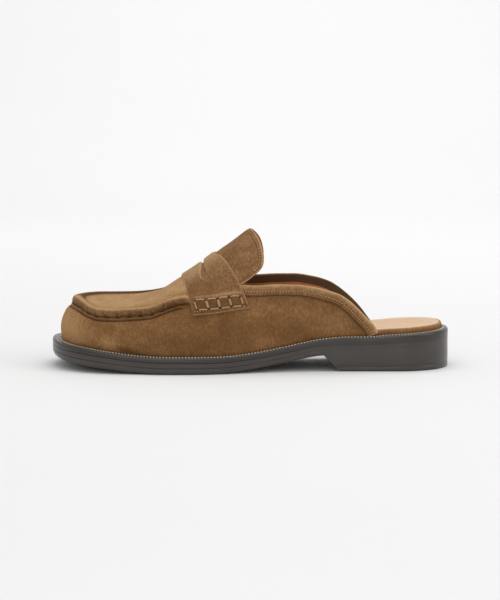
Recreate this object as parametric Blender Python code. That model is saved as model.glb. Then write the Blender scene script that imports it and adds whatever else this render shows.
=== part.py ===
"""Backless penny loafer for the left foot, in metres.

The toe points to -X and the heel to +X; the outer side of the foot is -Y and the inner side +Y.
Every piece above the sole is laid over one last: columns that rise from the feather line to the
ridge of the instep, and fan round the toe from a point on that ridge.
"""

import math

import bmesh
import bpy
import numpy as np

# Driving sizes
LENGTH = 0.290
BALL_WIDTH = 0.1035
TOE_SPRING = 0.0081
BREAST_HEIGHT = 0.0118
INSTEP_HEIGHT = 0.0985
QUARTER_HEIGHT = 0.0630
FORE_EDGE = 0.0122
WELT_THICK = 0.0037
WELT_WIDTH = 0.0135
INSOLE_THICK = 0.0042
FEATHER = 0.0045
WALL = 0.0020
PLUG = 0.0018
RIM_HEIGHT = 0.0050
RIM_WIDTH = 0.0085
TONGUE = 0.0018
STRAP = 0.0021
BAND = 0.0009
BAND_WIDTH = 0.0085
SLOT_LENGTH = 0.062
SLOT_WIDTH = 0.0058
GAP = 0.0003
PLUG_GAP = 0.0006

# Rounding at the edges of the sole
TREAD_ROUND = 0.0026
SEAM_BEVEL = 0.0005
WELT_BEVEL = 0.0012

# Places along the shoe, as shares of its length from the toe
TOE_CAP = 0.20
HEEL_CAP = 0.135
TOE_SQUARE = 2.3
HEEL_SQUARE = 2.2
FAN_POINT = 0.138
THROAT = 0.431
BREAST_TOP = 0.683
BREAST_FOOT = 0.724
PLUG_END = 0.360
UNDER_STRAP = (0.318, 0.340)
TONGUE_START = 0.368
SLOT_PLACE = 0.377
DISH_FROM, DISH_TO = 0.35, 0.80
BULGE = 0.0012

OUTER, INNER = -1, 1
FAN = "fan"

# Plan of the sole: centre line and half width, as shares of the ball width
PLAN = [
    # along, centre, half
    (0.00, 0.058, 0.493),
    (0.07, 0.024, 0.480),
    (0.13, 0.005, 0.479),
    (0.20, -0.007, 0.486),
    (0.27, -0.017, 0.500),
    (0.34, -0.029, 0.493),
    (0.42, -0.041, 0.457),
    (0.50, -0.043, 0.401),
    (0.58, -0.041, 0.355),
    (0.66, -0.031, 0.331),
    (0.74, -0.019, 0.329),
    (0.82, -0.010, 0.338),
    (0.90, -0.005, 0.343),
    (1.00, 0.000, 0.343),
]
# Underside of the outsole: share of the toe spring, then share of the breast height
UNDERSIDE = [
    # along, toe, breast
    (0.000, 1.00, 0.00),
    (0.030, 0.79, 0.00),
    (0.090, 0.56, 0.00),
    (0.160, 0.32, 0.00),
    (0.215, 0.14, 0.00),
    (0.260, 0.03, 0.00),
    (0.290, 0.00, 0.00),
    (0.400, 0.00, 0.00),
    (0.440, 0.00, 0.04),
    (0.486, 0.00, 0.16),
    (0.534, 0.00, 0.34),
    (0.583, 0.00, 0.56),
    (0.631, 0.00, 0.79),
    (0.683, 0.00, 1.00),
    (0.800, 0.00, 1.10),
    (1.000, 0.00, 1.30),
]
# Sole edge: share of FORE_EDGE over the underside, of WELT_THICK and of TREAD_ROUND
EDGE = [
    # along, fore, welt, rounding
    (0.000, 1.02, 1.00, 1.00),
    (0.100, 1.03, 1.00, 1.00),
    (0.220, 0.98, 1.00, 1.00),
    (0.390, 0.98, 1.00, 1.00),
    (0.486, 0.93, 1.00, 1.00),
    (0.583, 0.91, 1.05, 1.00),
    (0.640, 0.93, 1.15, 1.00),
    (0.683, 0.94, 1.35, 0.25),
    (0.730, 0.99, 1.50, 0.12),
    (0.797, 0.96, 1.55, 0.12),
    (0.860, 1.01, 1.55, 0.12),
    (1.000, 1.05, 1.55, 0.12),
]
# Feather line, and edge of the insole, set in from the edge of the welt, as shares of FEATHER
INSETS = [
    # along, upper, insole
    (0.00, 1.55, 2.25),
    (0.05, 1.45, 2.15),
    (0.15, 1.10, 1.75),
    (0.30, 1.00, 1.65),
    (0.50, 0.85, 1.50),
    (0.60, 0.75, 1.40),
    (0.83, 0.72, 1.38),
    (0.88, 0.72, 1.05),
    (1.00, 0.72, 1.05),
]
# The last: ridge height as a share of INSTEP_HEIGHT, ridge offset as a share of BALL_WIDTH,
# then the squareness of a section, the roll of its top, and the depth of its dish as the ridge's
LAST = [
    # along, ridge, offset, square, roll, dish
    (0.000, 0.474, 0.058, 3.80, 0.06, 0.030),
    (0.138, 0.478, 0.058, 3.50, 0.08, 0.030),
    (0.203, 0.486, 0.055, 3.20, 0.08, 0.028),
    (0.241, 0.508, 0.050, 2.80, 0.07, 0.022),
    (0.272, 0.540, 0.046, 2.45, 0.06, 0.012),
    (0.324, 0.624, 0.036, 2.05, 0.04, 0.000),
    (0.372, 0.717, 0.028, 1.85, 0.02, 0.000),
    (0.414, 0.811, 0.020, 1.85, 0.01, 0.000),
    (0.445, 0.877, 0.014, 1.85, 0.00, 0.000),
    (0.500, 1.000, 0.006, 1.90, 0.00, 0.000),
    (0.600, 1.130, 0.000, 2.00, 0.00, 0.000),
    (0.860, 1.240, 0.000, 2.10, 0.00, 0.000),
]
# Moccasin seam round the plug: height on each side, as a share of QUARTER_HEIGHT
SEAM = [
    # along, outer, inner
    (0.000, 0.700, 0.700),
    (0.020, 0.694, 0.708),
    (0.055, 0.672, 0.715),
    (0.083, 0.644, 0.715),
    (0.120, 0.616, 0.710),
    (0.155, 0.610, 0.705),
    (0.200, 0.618, 0.708),
    (0.248, 0.637, 0.725),
    (0.272, 0.667, 0.745),
    (0.300, 0.715, 0.780),
    (0.322, 0.747, 0.805),
    (0.360, 0.780, 0.830),
    (0.420, 0.820, 0.860),
]
# Thickness across the plug from its seam: share of RIM_WIDTH, then share of RIM_HEIGHT
RIM = [
    # across, height
    (0.00, 0.22),
    (0.10, 0.58),
    (0.28, 0.88),
    (0.50, 1.00),
    (0.72, 0.86),
    (0.95, 0.55),
    (1.20, 0.38),
    (1.70, 0.36),
]
# Collar line: height on each side, as a share of QUARTER_HEIGHT
COLLAR = [
    # along, outer, inner
    (0.431, 1.420, 1.420),
    (0.434, 1.230, 1.230),
    (0.442, 1.130, 1.130),
    (0.455, 1.050, 1.065),
    (0.468, 1.010, 1.030),
    (0.480, 0.998, 1.020),
    (0.514, 0.989, 1.010),
    (0.562, 1.000, 1.022),
    (0.614, 0.995, 1.024),
    (0.659, 0.967, 0.994),
    (0.700, 0.918, 0.937),
    (0.724, 0.878, 0.872),
    (0.745, 0.815, 0.795),
    (0.766, 0.730, 0.703),
    (0.786, 0.632, 0.597),
    (0.800, 0.568, 0.510),
    (0.808, 0.525, 0.462),
    (0.820, 0.425, 0.410),
]
COLLAR_END = {OUTER: 0.820, INNER: 0.814}
BAND_START = 0.4975
# Strap: its front and rear edges and its lower ends, up each side from the end to the ridge
STRAP_EDGE = [
    # up, front, rear
    (0.00, 0.359, 0.500),
    (0.25, 0.352, 0.478),
    (0.50, 0.345, 0.456),
    (0.75, 0.338, 0.434),
    (0.92, 0.333, 0.418),
    (1.00, 0.332, 0.415),
]
STRAP_FOOT = [
    # along, height
    (0.30, 0.640),
    (0.359, 0.652),
    (0.500, 0.738),
    (0.550, 0.765),
]
# Tongue: lower edge height as a share of QUARTER_HEIGHT, and how far back it ends
TONGUE_FOOT = [
    # along, height
    (0.360, 0.830),
    (0.414, 0.860),
    (0.450, 0.920),
    (0.479, 0.995),
    (0.500, 1.060),
    (0.521, 1.140),
    (0.540, 1.220),
]
TONGUE_END = [
    # up, along
    (0.00, 0.518),
    (0.03, 0.529),
    (0.08, 0.5325),
    (0.165, 0.5332),
    (0.306, 0.5310),
    (0.434, 0.5278),
    (0.580, 0.5222),
    (0.758, 0.5130),
    (0.900, 0.5060),
    (1.00, 0.5015),
]

# Colour, roughness and metallic value of each finish
FINISHES = {
    "suede": ((0.23, 0.12, 0.045), 0.95, 0.0),
    "suede_strap": ((0.20, 0.10, 0.038), 0.95, 0.0),
    "suede_plug": ((0.28, 0.16, 0.065), 0.95, 0.0),
    "sock_leather": ((0.62, 0.42, 0.27), 0.65, 0.0),
    "dark_rubber": ((0.045, 0.040, 0.036), 0.45, 0.0),
    "dark_welt": ((0.035, 0.031, 0.028), 0.50, 0.0),
}


def column(rows, index):
    """A smooth curve through one column of a table, flat wherever two neighbours are equal."""
    x = np.array([row[0] for row in rows])
    y = np.array([row[index] for row in rows])
    step = np.diff(x)
    slope = np.diff(y) / step
    tangent = np.zeros(len(x))
    tangent[0], tangent[-1] = slope[0], slope[-1]
    for i in range(1, len(x) - 1):
        if slope[i - 1] * slope[i] > 0:
            before, after = 2 * step[i] + step[i - 1], step[i] + 2 * step[i - 1]
            tangent[i] = (before + after) / (before / slope[i - 1] + after / slope[i])

    def value(at):
        at = np.clip(at, x[0], x[-1])
        i = np.clip(np.searchsorted(x, at) - 1, 0, len(step) - 1)
        t = (at - x[i]) / step[i]
        return (
            (1 + 2 * t) * (1 - t) ** 2 * y[i]
            + t * (1 - t) ** 2 * step[i] * tangent[i]
            + t * t * (3 - 2 * t) * y[i + 1]
            + t * t * (t - 1) * step[i] * tangent[i + 1]
        )

    return value


def ease(low, high, at):
    """From 0 at low to 1 at high, level at both ends."""
    t = np.clip((at - low) / (high - low), 0, 1)
    return t * t * (3 - 2 * t)


def share_of(x):
    return x / LENGTH + 0.5


def place_of(share):
    return (share - 0.5) * LENGTH


centre_share, half_share = column(PLAN, 1), column(PLAN, 2)
toe_rise, breast_rise = column(UNDERSIDE, 1), column(UNDERSIDE, 2)
edge_share, welt_share, round_share = column(EDGE, 1), column(EDGE, 2), column(EDGE, 3)
upper_inset, insole_inset = column(INSETS, 1), column(INSETS, 2)


def underside(x):
    return TOE_SPRING * toe_rise(share_of(x)) + BREAST_HEIGHT * breast_rise(share_of(x))


def welt_top(x):
    return underside(x) + FORE_EDGE * edge_share(share_of(x))


def welt_seam(x):
    return welt_top(x) - WELT_THICK * welt_share(share_of(x))


class Edge:
    """The plan outline, from the back of the heel up the outer side, round the toe and back."""

    STEPS = 600

    def __init__(self):
        turn = np.linspace(0, math.pi / 2, self.STEPS)
        toe = TOE_CAP * (1 - np.cos(turn))
        side = np.linspace(TOE_CAP, 1 - HEEL_CAP, self.STEPS)[1:-1]
        heel = 1 - HEEL_CAP * (1 - np.sin(turn))
        share = np.concatenate([toe, side, heel])
        toe_depth = np.clip(1 - share / TOE_CAP, 0, 1)
        heel_depth = np.clip(1 - (1 - share) / HEEL_CAP, 0, 1)
        cap = (1 - toe_depth**TOE_SQUARE) ** (1 / TOE_SQUARE)
        cap *= (1 - heel_depth**HEEL_SQUARE) ** (1 / HEEL_SQUARE)
        half = BALL_WIDTH * half_share(share) * cap
        centre = BALL_WIDTH * centre_share(share)
        outer = np.stack([place_of(share), centre - half], axis=1)[::-1]
        inner = np.stack([place_of(share), centre + half], axis=1)[1:]
        points = np.concatenate([outer, inner])
        points[:, 1] -= (points[:, 1].max() + points[:, 1].min()) / 2
        length = np.concatenate([[0], np.cumsum(np.hypot(*np.diff(points, axis=0).T))])
        self.at = length / length[-1]
        self.points = points
        self.toe_at = self.at[len(outer) - 1]
        self.share = share_of(points[:, 0])
        ahead = self.place(self.at + 1e-3) - self.place(self.at - 1e-3)
        ahead /= np.hypot(*ahead.T)[:, None]
        self.normals = np.stack([-ahead[:, 1], ahead[:, 0]], axis=1)

    def place(self, at):
        at = np.mod(at, 1)
        return np.stack([np.interp(at, self.at, self.points[:, i]) for i in (0, 1)], axis=1)

    def inset(self, at, depth):
        """Points of the outline moved in by a depth, which may be one value or one for each."""
        at = np.atleast_1d(at)
        normal = np.stack([np.interp(at, self.at, self.normals[:, i]) for i in (0, 1)], axis=1)
        normal /= np.hypot(*normal.T)[:, None]
        return self.place(at) - normal * np.broadcast_to(depth, at.shape)[:, None]

    def at_share(self, side, share):
        """Where along the outline a share of the length lies, on one side."""
        last = np.searchsorted(self.at, self.toe_at)
        if side == OUTER:
            return np.interp(share, self.share[last::-1], self.at[last::-1])
        return np.interp(share, self.share[last:], self.at[last:])


EDGE_LINE = Edge()


class Last:
    """The form under the upper: a grid of columns along the feather line, each from 0 at the
    feather to 1 at the ridge."""

    COLUMNS, ROWS, FINE = 700, 160, 400

    def __init__(self):
        ridge, offset = column(LAST, 1), column(LAST, 2)
        square, roll, dish = column(LAST, 3), column(LAST, 4), column(LAST, 5)
        reach = 0.86
        first, last = (EDGE_LINE.at_share(side, reach) for side in (OUTER, INNER))
        self.at = np.linspace(first, last, self.COLUMNS)
        share = np.interp(self.at, EDGE_LINE.at, EDGE_LINE.share)
        foot = EDGE_LINE.inset(self.at, FEATHER * upper_inset(share))
        self.foot_x = foot[:, 0]
        self.toe_column = int(np.argmin(self.foot_x))
        spread = np.sin(np.linspace(0, math.pi / 2, self.FINE))
        self.grid = np.empty((self.COLUMNS, self.ROWS, 3))
        self.reach = np.empty(self.COLUMNS)
        for i, (x, y) in enumerate(foot):
            top_share = max(share_of(x), FAN_POINT)
            top = np.array([place_of(top_share), BALL_WIDTH * offset(top_share)])
            along = top - (x, y)
            rise = INSTEP_HEIGHT * ridge(top_share) - welt_top(x) - GAP
            power = 2 / square(share_of(x))
            turn = np.arcsin(spread)
            inward = 1 - np.cos(turn) ** power
            height = np.sin(turn) ** power
            inward -= BULGE * np.sin(math.pi * np.clip(height / 0.75, 0, 1)) / np.hypot(*along)
            inward[-1] = 1
            curve = np.empty((self.FINE, 3))
            curve[:, :2] = (x, y) + inward[:, None] * along
            curve[:, 2] = welt_top(x) + GAP + rise * height
            curve[:, 2] += roll(top_share) * (curve[:, 1] - top[1]) * height**2
            curve[:, 2] -= INSTEP_HEIGHT * dish(top_share) * ease(DISH_FROM, DISH_TO, inward)
            length = np.linalg.norm(np.diff(curve, axis=0), axis=1)
            length = np.concatenate([[0], np.cumsum(length)])
            self.reach[i] = length[-1]
            even = np.linspace(0, length[-1], self.ROWS)
            for axis in range(3):
                self.grid[i, :, axis] = np.interp(even, length, curve[:, axis])
        across = np.gradient(self.grid, axis=0)
        across[:, -1] = across[:, -2]
        upward = np.gradient(self.grid, axis=1)
        normal = np.cross(upward, across)
        self.normal = normal / np.linalg.norm(normal, axis=2)[:, :, None]

    def mix(self, values, at, up):
        """Values of the grid at a place along the feather line and a share of its column."""
        row = np.clip((at - self.at[0]) / (self.at[-1] - self.at[0]), 0, 1) * (self.COLUMNS - 1)
        col = np.clip(up, 0, 1) * (self.ROWS - 1)
        i, j = min(int(row), self.COLUMNS - 2), min(int(col), self.ROWS - 2)
        s, t = row - i, col - j
        return (
            (1 - s) * (1 - t) * values[i, j]
            + s * (1 - t) * values[i + 1, j]
            + (1 - s) * t * values[i, j + 1]
            + s * t * values[i + 1, j + 1]
        )

    def point(self, at, up, offset=0.0):
        """A point of the form, moved out by an offset."""
        normal = self.mix(self.normal, at, min(up, 0.99))
        return self.mix(self.grid, at, up) + offset * normal / np.linalg.norm(normal)

    def length(self, at):
        return float(np.interp(at, self.at, self.reach))

    def at_place(self, side, x):
        """Where along the feather line a column stands at x, on one side."""
        toe = self.toe_column
        if side == OUTER:
            return float(np.interp(x, self.foot_x[toe::-1], self.at[toe::-1]))
        return float(np.interp(x, self.foot_x[toe:], self.at[toe:]))

    def up_at_height(self, at, height):
        """The share of a column at which it first reaches a height."""
        ups = np.linspace(0, 1, self.ROWS)
        heights = np.maximum.accumulate([self.mix(self.grid, at, up)[2] for up in ups])
        if height >= heights[-1]:
            return 1.0
        return float(np.interp(height, heights, ups))


FORM = Last()


def new_object(name, mesh, finish):
    """An object of the shoe, shaded smooth, with its own material."""
    colour, roughness, metallic = FINISHES[finish]
    material = bpy.data.materials.new(name)
    material.use_nodes = True
    shader = material.node_tree.nodes["Principled BSDF"]
    shader.inputs["Base Color"].default_value = (*colour, 1)
    shader.inputs["Roughness"].default_value = roughness
    shader.inputs["Metallic"].default_value = metallic
    mesh.materials.append(material)
    mesh.shade_smooth()
    mesh.set_sharp_from_angle(angle=math.radians(35))
    obj = bpy.data.objects.new(name, mesh)
    bpy.data.collections["loafer"].objects.link(obj)
    return obj


def closed_mesh(name, points, faces):
    """A mesh whose faces all point out."""
    mesh = bpy.data.meshes.new(name)
    mesh.from_pydata([tuple(point) for point in points], [], faces)
    shape = bmesh.new()
    shape.from_mesh(mesh)
    bmesh.ops.recalc_face_normals(shape, faces=shape.faces)
    shape.to_mesh(mesh)
    shape.free()
    return mesh


def between_sheets(name, outside, inside, faces):
    """The closed mesh between two sheets that share their faces."""
    count = len(outside)
    edges = {}
    for face in faces:
        for a, b in zip(face, face[1:] + face[:1]):
            edges[(a, b)] = edges.get((a, b), 0) + 1
    rim = [(a, b) for a, b in edges if (b, a) not in edges]
    sides = [(b, a, a + count, b + count) for a, b in rim]
    back = [tuple(i + count for i in reversed(face)) for face in faces]
    return closed_mesh(name, list(outside) + list(inside), faces + back + sides)


# Slabs of the sole

SLAB_STEPS = 43


def slab_shares():
    """Shares of the length for one side of a slab, closer together round the toe and heel."""
    outer = np.linspace(EDGE_LINE.toe_at, 0, SLAB_STEPS + 1)
    return np.interp(outer, EDGE_LINE.at, EDGE_LINE.share)


def loop(depth, height):
    """One ring of a slab: the toe, the outer side, the heel, the inner side.

    depth is an inset, or a function of the share; height is a function of x."""
    shares = slab_shares()
    outer = [EDGE_LINE.at_share(OUTER, share) for share in shares]
    inner = [EDGE_LINE.at_share(INNER, share) for share in shares[-2:0:-1]]
    places = np.array(outer + inner)
    along = np.concatenate([shares, shares[-2:0:-1]])
    flat = EDGE_LINE.inset(places, depth(along) if callable(depth) else depth)
    return np.column_stack([flat, height(flat[:, 0])])


def ring_faces(rings, count):
    """Quads between neighbouring rings of one point count."""
    faces = []
    for ring in range(rings - 1):
        for i in range(count):
            a, b = ring * count + i, ring * count + (i + 1) % count
            faces.append((a, b, b + count, a + count))
    return faces


def cap_faces(start, count):
    """Strips across a ring, from its outer to its inner side."""
    steps = count // 2
    faces = [(start, start + 1, start + count - 1)]
    for i in range(1, steps - 1):
        faces.append((start + i, start + i + 1, start + count - i - 1, start + count - i))
    faces.append((start + steps - 1, start + steps, start + steps + 1))
    return faces


def slab(name, finish, rings):
    """A solid through the rings, closed across the first and the last."""
    count = len(rings[0])
    faces = ring_faces(len(rings), count)
    faces += cap_faces(0, count) + cap_faces((len(rings) - 1) * count, count)
    return new_object(name, closed_mesh(name, np.concatenate(rings), faces), finish)


def tread_round(x, depth):
    return depth * round_share(share_of(x))


def outsole():
    """Outsole with a rounded lower edge, and a middle that fills the ring of the welt."""

    def edge(part, lift):
        inset = lambda share: TREAD_ROUND * part * round_share(share)
        height = lambda x: underside(x) + tread_round(x, TREAD_ROUND * lift)
        return loop(inset, height)

    rings = [
        edge(1.0, 0.0),
        edge(0.38, 0.13),
        edge(0.08, 0.5),
        edge(0.0, 1.0),
        loop(0.0, lambda x: welt_seam(x) - SEAM_BEVEL),
        loop(SEAM_BEVEL, welt_seam),
        loop(WELT_WIDTH + GAP, welt_seam),
        loop(WELT_WIDTH + GAP, welt_top),
    ]
    return slab("outsole", "dark_rubber", rings)


def welt():
    """The strip that runs all round on the outsole's edge."""
    foot = lambda lift: lambda x: welt_seam(x) + GAP + lift
    rings = [
        loop(SEAM_BEVEL, foot(0.0)),
        loop(0.0, foot(SEAM_BEVEL)),
        loop(0.0, lambda x: welt_top(x) - WELT_BEVEL),
        loop(0.3 * WELT_BEVEL, lambda x: welt_top(x) - 0.3 * WELT_BEVEL),
        loop(WELT_BEVEL, welt_top),
        loop(WELT_WIDTH, welt_top),
        loop(WELT_WIDTH, foot(0.0)),
    ]
    count = len(rings[0])
    faces = ring_faces(len(rings), count)
    last = (len(rings) - 1) * count
    for i in range(count):
        after = (i + 1) % count
        faces.append((last + i, last + after, after, i))
    return new_object("welt", closed_mesh("welt", np.concatenate(rings), faces), "dark_welt")


def heel():
    """Heel block: flat on the floor, with a slanted breast, under the outsole's seat."""
    steps = 18
    fractions = np.linspace(0, 1, steps + 1)
    spread = 1 - (1 - fractions) ** 1.6
    edge_round = TREAD_ROUND * float(round_share(1.0))
    levels = [
        # height share, inset
        (0.00, 0.0010),
        (0.07, 0.0002),
        (0.50, 0.0),
        (1.00, edge_round),
    ]
    rings = []
    for height, depth in levels:
        front = BREAST_FOOT + (BREAST_TOP - BREAST_FOOT) * height
        shares = front + (1 - front) * spread
        outer = [EDGE_LINE.at_share(OUTER, share) for share in shares]
        inner = [EDGE_LINE.at_share(INNER, share) for share in shares[-2::-1]]
        flat = EDGE_LINE.inset(np.array(outer + inner), depth)
        tall = height * (underside(flat[:, 0]) - GAP)
        rings.append(np.column_stack([flat, tall]))
    count = len(rings[0])
    faces = ring_faces(len(rings), count)
    for start in (0, (len(rings) - 1) * count):
        for i in range(steps - 1):
            far = start + count - 1 - i
            faces.append((start + i, start + i + 1, far - 1, far))
        faces.append((start + steps - 1, start + steps, start + steps + 1))
    return new_object("heel", closed_mesh("heel", np.concatenate(rings), faces), "dark_rubber")


def insole():
    """Footbed on the welt, with a rounded upper edge that shows at the open heel."""
    base = lambda x: welt_top(x) + GAP
    depth = lambda extra: lambda share: FEATHER * insole_inset(share) + extra
    corner = 0.3 * INSOLE_THICK
    rings = [
        loop(depth(0.0), base),
        loop(depth(0.0), lambda x: base(x) + INSOLE_THICK - corner),
        loop(depth(0.3 * corner), lambda x: base(x) + INSOLE_THICK - 0.3 * corner),
        loop(depth(corner), lambda x: base(x) + INSOLE_THICK),
    ]
    return slab("insole", "sock_leather", rings)


# Sheets over the last

FAN_STEPS = 22
PLUG_STEPS = 12
THROAT_STEPS = 5
UPPER_ROWS = 12
QUARTER_STEPS = 19


def collar_height(side, share):
    return QUARTER_HEIGHT * column(COLLAR, 1 if side == OUTER else 2)(share)


def seam_up(at):
    """How far up its column the moccasin seam lies, changing sides smoothly round the toe."""
    share = share_of(FORM.point(at, 0.0)[0])
    start, end = (FORM.at_place(side, place_of(FAN_POINT)) for side in (OUTER, INNER))
    inner = ease(start, end, at)
    height = (1 - inner) * column(SEAM, 1)(share) + inner * column(SEAM, 2)(share)
    return FORM.up_at_height(at, QUARTER_HEIGHT * height)


def side_columns(side, shares, joined):
    """Columns up one side; where they are joined, those at one share end in one ridge point."""
    columns = []
    for share in shares:
        key = None
        if joined:
            key = FAN if share < FAN_POINT + 1e-6 else round(float(share), 6)
        columns.append((side, FORM.at_place(side, place_of(share)), key))
    return columns


def fan_columns():
    """Columns round the toe, between those that stand at the fan point."""
    start, end = (FORM.at_place(side, place_of(FAN_POINT)) for side in (OUTER, INNER))
    places = np.linspace(start, end, FAN_STEPS + 1)[1:-1]
    middle = FORM.at[FORM.toe_column]
    return [(OUTER if at < middle else INNER, at, FAN) for at in places]


def fanned_sheet(columns, rows_of):
    """Points and faces of a sheet whose columns end at the ridge or on the collar.

    columns is a list of (side, at, ridge key or None); rows_of gives the ups of a column."""
    points, index, shared = [], [], {}
    for side, at, key in columns:
        ups = rows_of(side, at)
        row = []
        for up in ups:
            last = up is ups[-1]
            if last and key is not None and key in shared:
                row.append(shared[key])
                continue
            row.append(len(points))
            points.append((at, up))
            if last and key is not None:
                shared[key] = row[-1]
        index.append(row)
    faces = []
    for left, right in zip(index, index[1:]):
        for j in range(len(left) - 1):
            face = (left[j], right[j], right[j + 1], left[j + 1])
            if face[2] == face[3]:
                face = face[:3]
            faces.append(face)
    return points, faces


def joined_columns(behind, vamp):
    """Columns from the outer side's rear end round the toe to the inner side's.

    behind holds the shares of the columns that end on the collar, for each side."""
    sides = {}
    for side in (OUTER, INNER):
        sides[side] = side_columns(side, behind[side], False) + side_columns(side, vamp, True)
    return sides[OUTER] + fan_columns() + sides[INNER][::-1]


def plug_shares():
    return np.linspace(PLUG_END, FAN_POINT, PLUG_STEPS)


def upper():
    """Vamp and quarters: one shell, open at the collar and throat and underneath."""
    throat = np.linspace(THROAT, PLUG_END, THROAT_STEPS)[:-1]
    vamp = np.concatenate([throat, plug_shares()])
    behind = {}
    for side in (OUTER, INNER):
        behind[side] = np.linspace(COLLAR_END[side], THROAT, QUARTER_STEPS + 1)[:-1]
    columns = joined_columns(behind, vamp)

    def rows_of(side, at):
        share = share_of(FORM.point(at, 0.0)[0])
        end = 1.0
        if share > THROAT - 1e-6:
            end = FORM.up_at_height(at, collar_height(side, share))
        return list(np.linspace(0, end, UPPER_ROWS))

    points, faces = fanned_sheet(columns, rows_of)
    outside = [FORM.point(at, up) for at, up in points]
    inside = [FORM.point(at, up, -WALL) for at, up in points]
    return new_object("upper", between_sheets("upper", outside, inside, faces), "suede")


def plug():
    """Moccasin plug: a dished sheet with a raised rim, sewn to the vamp along its seam."""
    columns = joined_columns({OUTER: [], INNER: []}, plug_shares())
    near = RIM_WIDTH * np.array([0.0, 0.1, 0.28, 0.5, 0.72, 0.95, 1.25])

    def rows_of(side, at):
        seam = seam_up(at)
        ups = seam + near / FORM.length(at)
        rest = np.linspace(ups[-1], 1.0, 4)[1:]
        return list(ups) + list(rest)

    points, faces = fanned_sheet(columns, rows_of)
    height = column(RIM, 1)
    outside, inside = [], []
    for at, up in points:
        across = (up - seam_up(at)) * FORM.length(at) / RIM_WIDTH
        share = share_of(FORM.point(at, 0.0)[0])
        under_strap = ease(*UNDER_STRAP, share)
        thick = PLUG + (RIM_HEIGHT * height(across) - PLUG) * (1 - under_strap)
        outside.append(FORM.point(at, up, PLUG_GAP + thick))
        inside.append(FORM.point(at, up, PLUG_GAP))
    return new_object("plug", between_sheets("plug", outside, inside, faces), "suede_plug")


def saddle_sheet(name, finish, along, lower, ups, steps, near, far):
    """A sheet across the instep, from its lower end on one side to that on the other.

    along(up, step) is a share of the length, lower(side, at, share) the lower end's up;
    near and far are offsets of its two faces, as functions of at and up."""
    rows = [(OUTER, up) for up in ups] + [(INNER, up) for up in ups[-2::-1]]
    outside, inside = [], []
    for side, up in rows:
        for step in steps:
            share = along(up, step)
            at = FORM.at_place(side if up < 1 else OUTER, place_of(share))
            foot = lower(side, at, share)
            height = foot + up * (1 - foot)
            outside.append(FORM.point(at, height, far(at, height)))
            inside.append(FORM.point(at, height, near(at, height)))
    across = len(steps)
    faces = []
    for i in range(len(rows) - 1):
        for j in range(across - 1):
            a = i * across + j
            faces.append((a, a + across, a + across + 1, a + 1))
    return new_object(name, between_sheets(name, outside, inside, faces), finish)


def strap_bed(at, up):
    """Height of what the strap lies on: the vamp, and above the seam the plug or the tongue."""
    below = (seam_up(at) - up) * FORM.length(at)
    over_plug = 1 - ease(0.0012, 0.0040, below)
    return GAP + (max(PLUG, TONGUE) + PLUG_GAP) * over_plug


STRAP_UPS = [0.0, 0.04, 0.09, 0.15, 0.22, 0.30, 0.38, 0.47, 0.56, 0.65, 0.74, 0.83, 0.90, 0.95, 1.0]


def strap():
    """Penny strap across the vamp, with its slot cut through."""
    front, rear = column(STRAP_EDGE, 1), column(STRAP_EDGE, 2)
    foot = column(STRAP_FOOT, 1)
    obj = saddle_sheet(
        "strap",
        "suede_strap",
        lambda up, step: front(up) + step * (rear(up) - front(up)),
        lambda side, at, share: FORM.up_at_height(at, QUARTER_HEIGHT * foot(share)),
        STRAP_UPS,
        list(np.linspace(0, 1, 7)),
        strap_bed,
        lambda at, up: strap_bed(at, up) + STRAP,
    )
    cut = obj.modifiers.new("slot", "BOOLEAN")
    cut.operation = "DIFFERENCE"
    cut.solver = "EXACT"
    cut.object = slot_cutter()
    return obj


def slot_cutter():
    """A prism with a lens outline, square to the ridge at the middle of the strap."""
    at = FORM.at_place(OUTER, place_of(SLOT_PLACE))
    middle = FORM.point(at, 1.0)
    ahead = FORM.point(FORM.at_place(OUTER, place_of(SLOT_PLACE + 0.01)), 1.0) - middle
    ahead[1] = 0
    ahead /= np.linalg.norm(ahead)
    up = np.array([-ahead[2], 0, ahead[0]])
    tall = 0.03
    steps = 12
    outline = []
    for i in range(steps):
        across = -1 + 2 * i / steps
        outline.append((across, 1 - across * across))
    for i in range(steps):
        across = 1 - 2 * i / steps
        outline.append((across, -0.55 * (1 - across * across)))
    points = []
    for end in (-1, 1):
        for across, wide in outline:
            offset = np.array([0, across * SLOT_LENGTH / 2, 0]) + ahead * wide * SLOT_WIDTH / 1.55
            points.append(middle + offset + up * end * tall)
    count = len(outline)
    faces = [tuple(range(count))[::-1], tuple(range(count, 2 * count))]
    faces += [(i, (i + 1) % count, (i + 1) % count + count, i + count) for i in range(count)]
    cutter = bpy.data.objects.new("slot_cutter", closed_mesh("slot_cutter", points, faces))
    cutter.hide_render = True
    cutter.display_type = "WIRE"
    bpy.data.collections["cutters"].objects.link(cutter)
    return cutter


TONGUE_UPS = [0.0, 0.06, 0.14, 0.25, 0.38, 0.52, 0.66, 0.79, 0.88, 0.95, 1.0]
TONGUE_STEPS = [0.0, 0.14, 0.30, 0.46, 0.62, 0.77, 0.90, 1.0]


def tongue():
    """Tongue: it starts under the strap and stands up over the instep, arched across."""
    end = column(TONGUE_END, 1)
    foot = column(TONGUE_FOOT, 1)
    return saddle_sheet(
        "tongue",
        "suede",
        lambda up, step: TONGUE_START + step * (end(up) - TONGUE_START),
        lambda side, at, share: FORM.up_at_height(at, QUARTER_HEIGHT * foot(share)),
        TONGUE_UPS,
        TONGUE_STEPS,
        lambda at, up: GAP,
        lambda at, up: GAP + TONGUE,
    )


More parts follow.
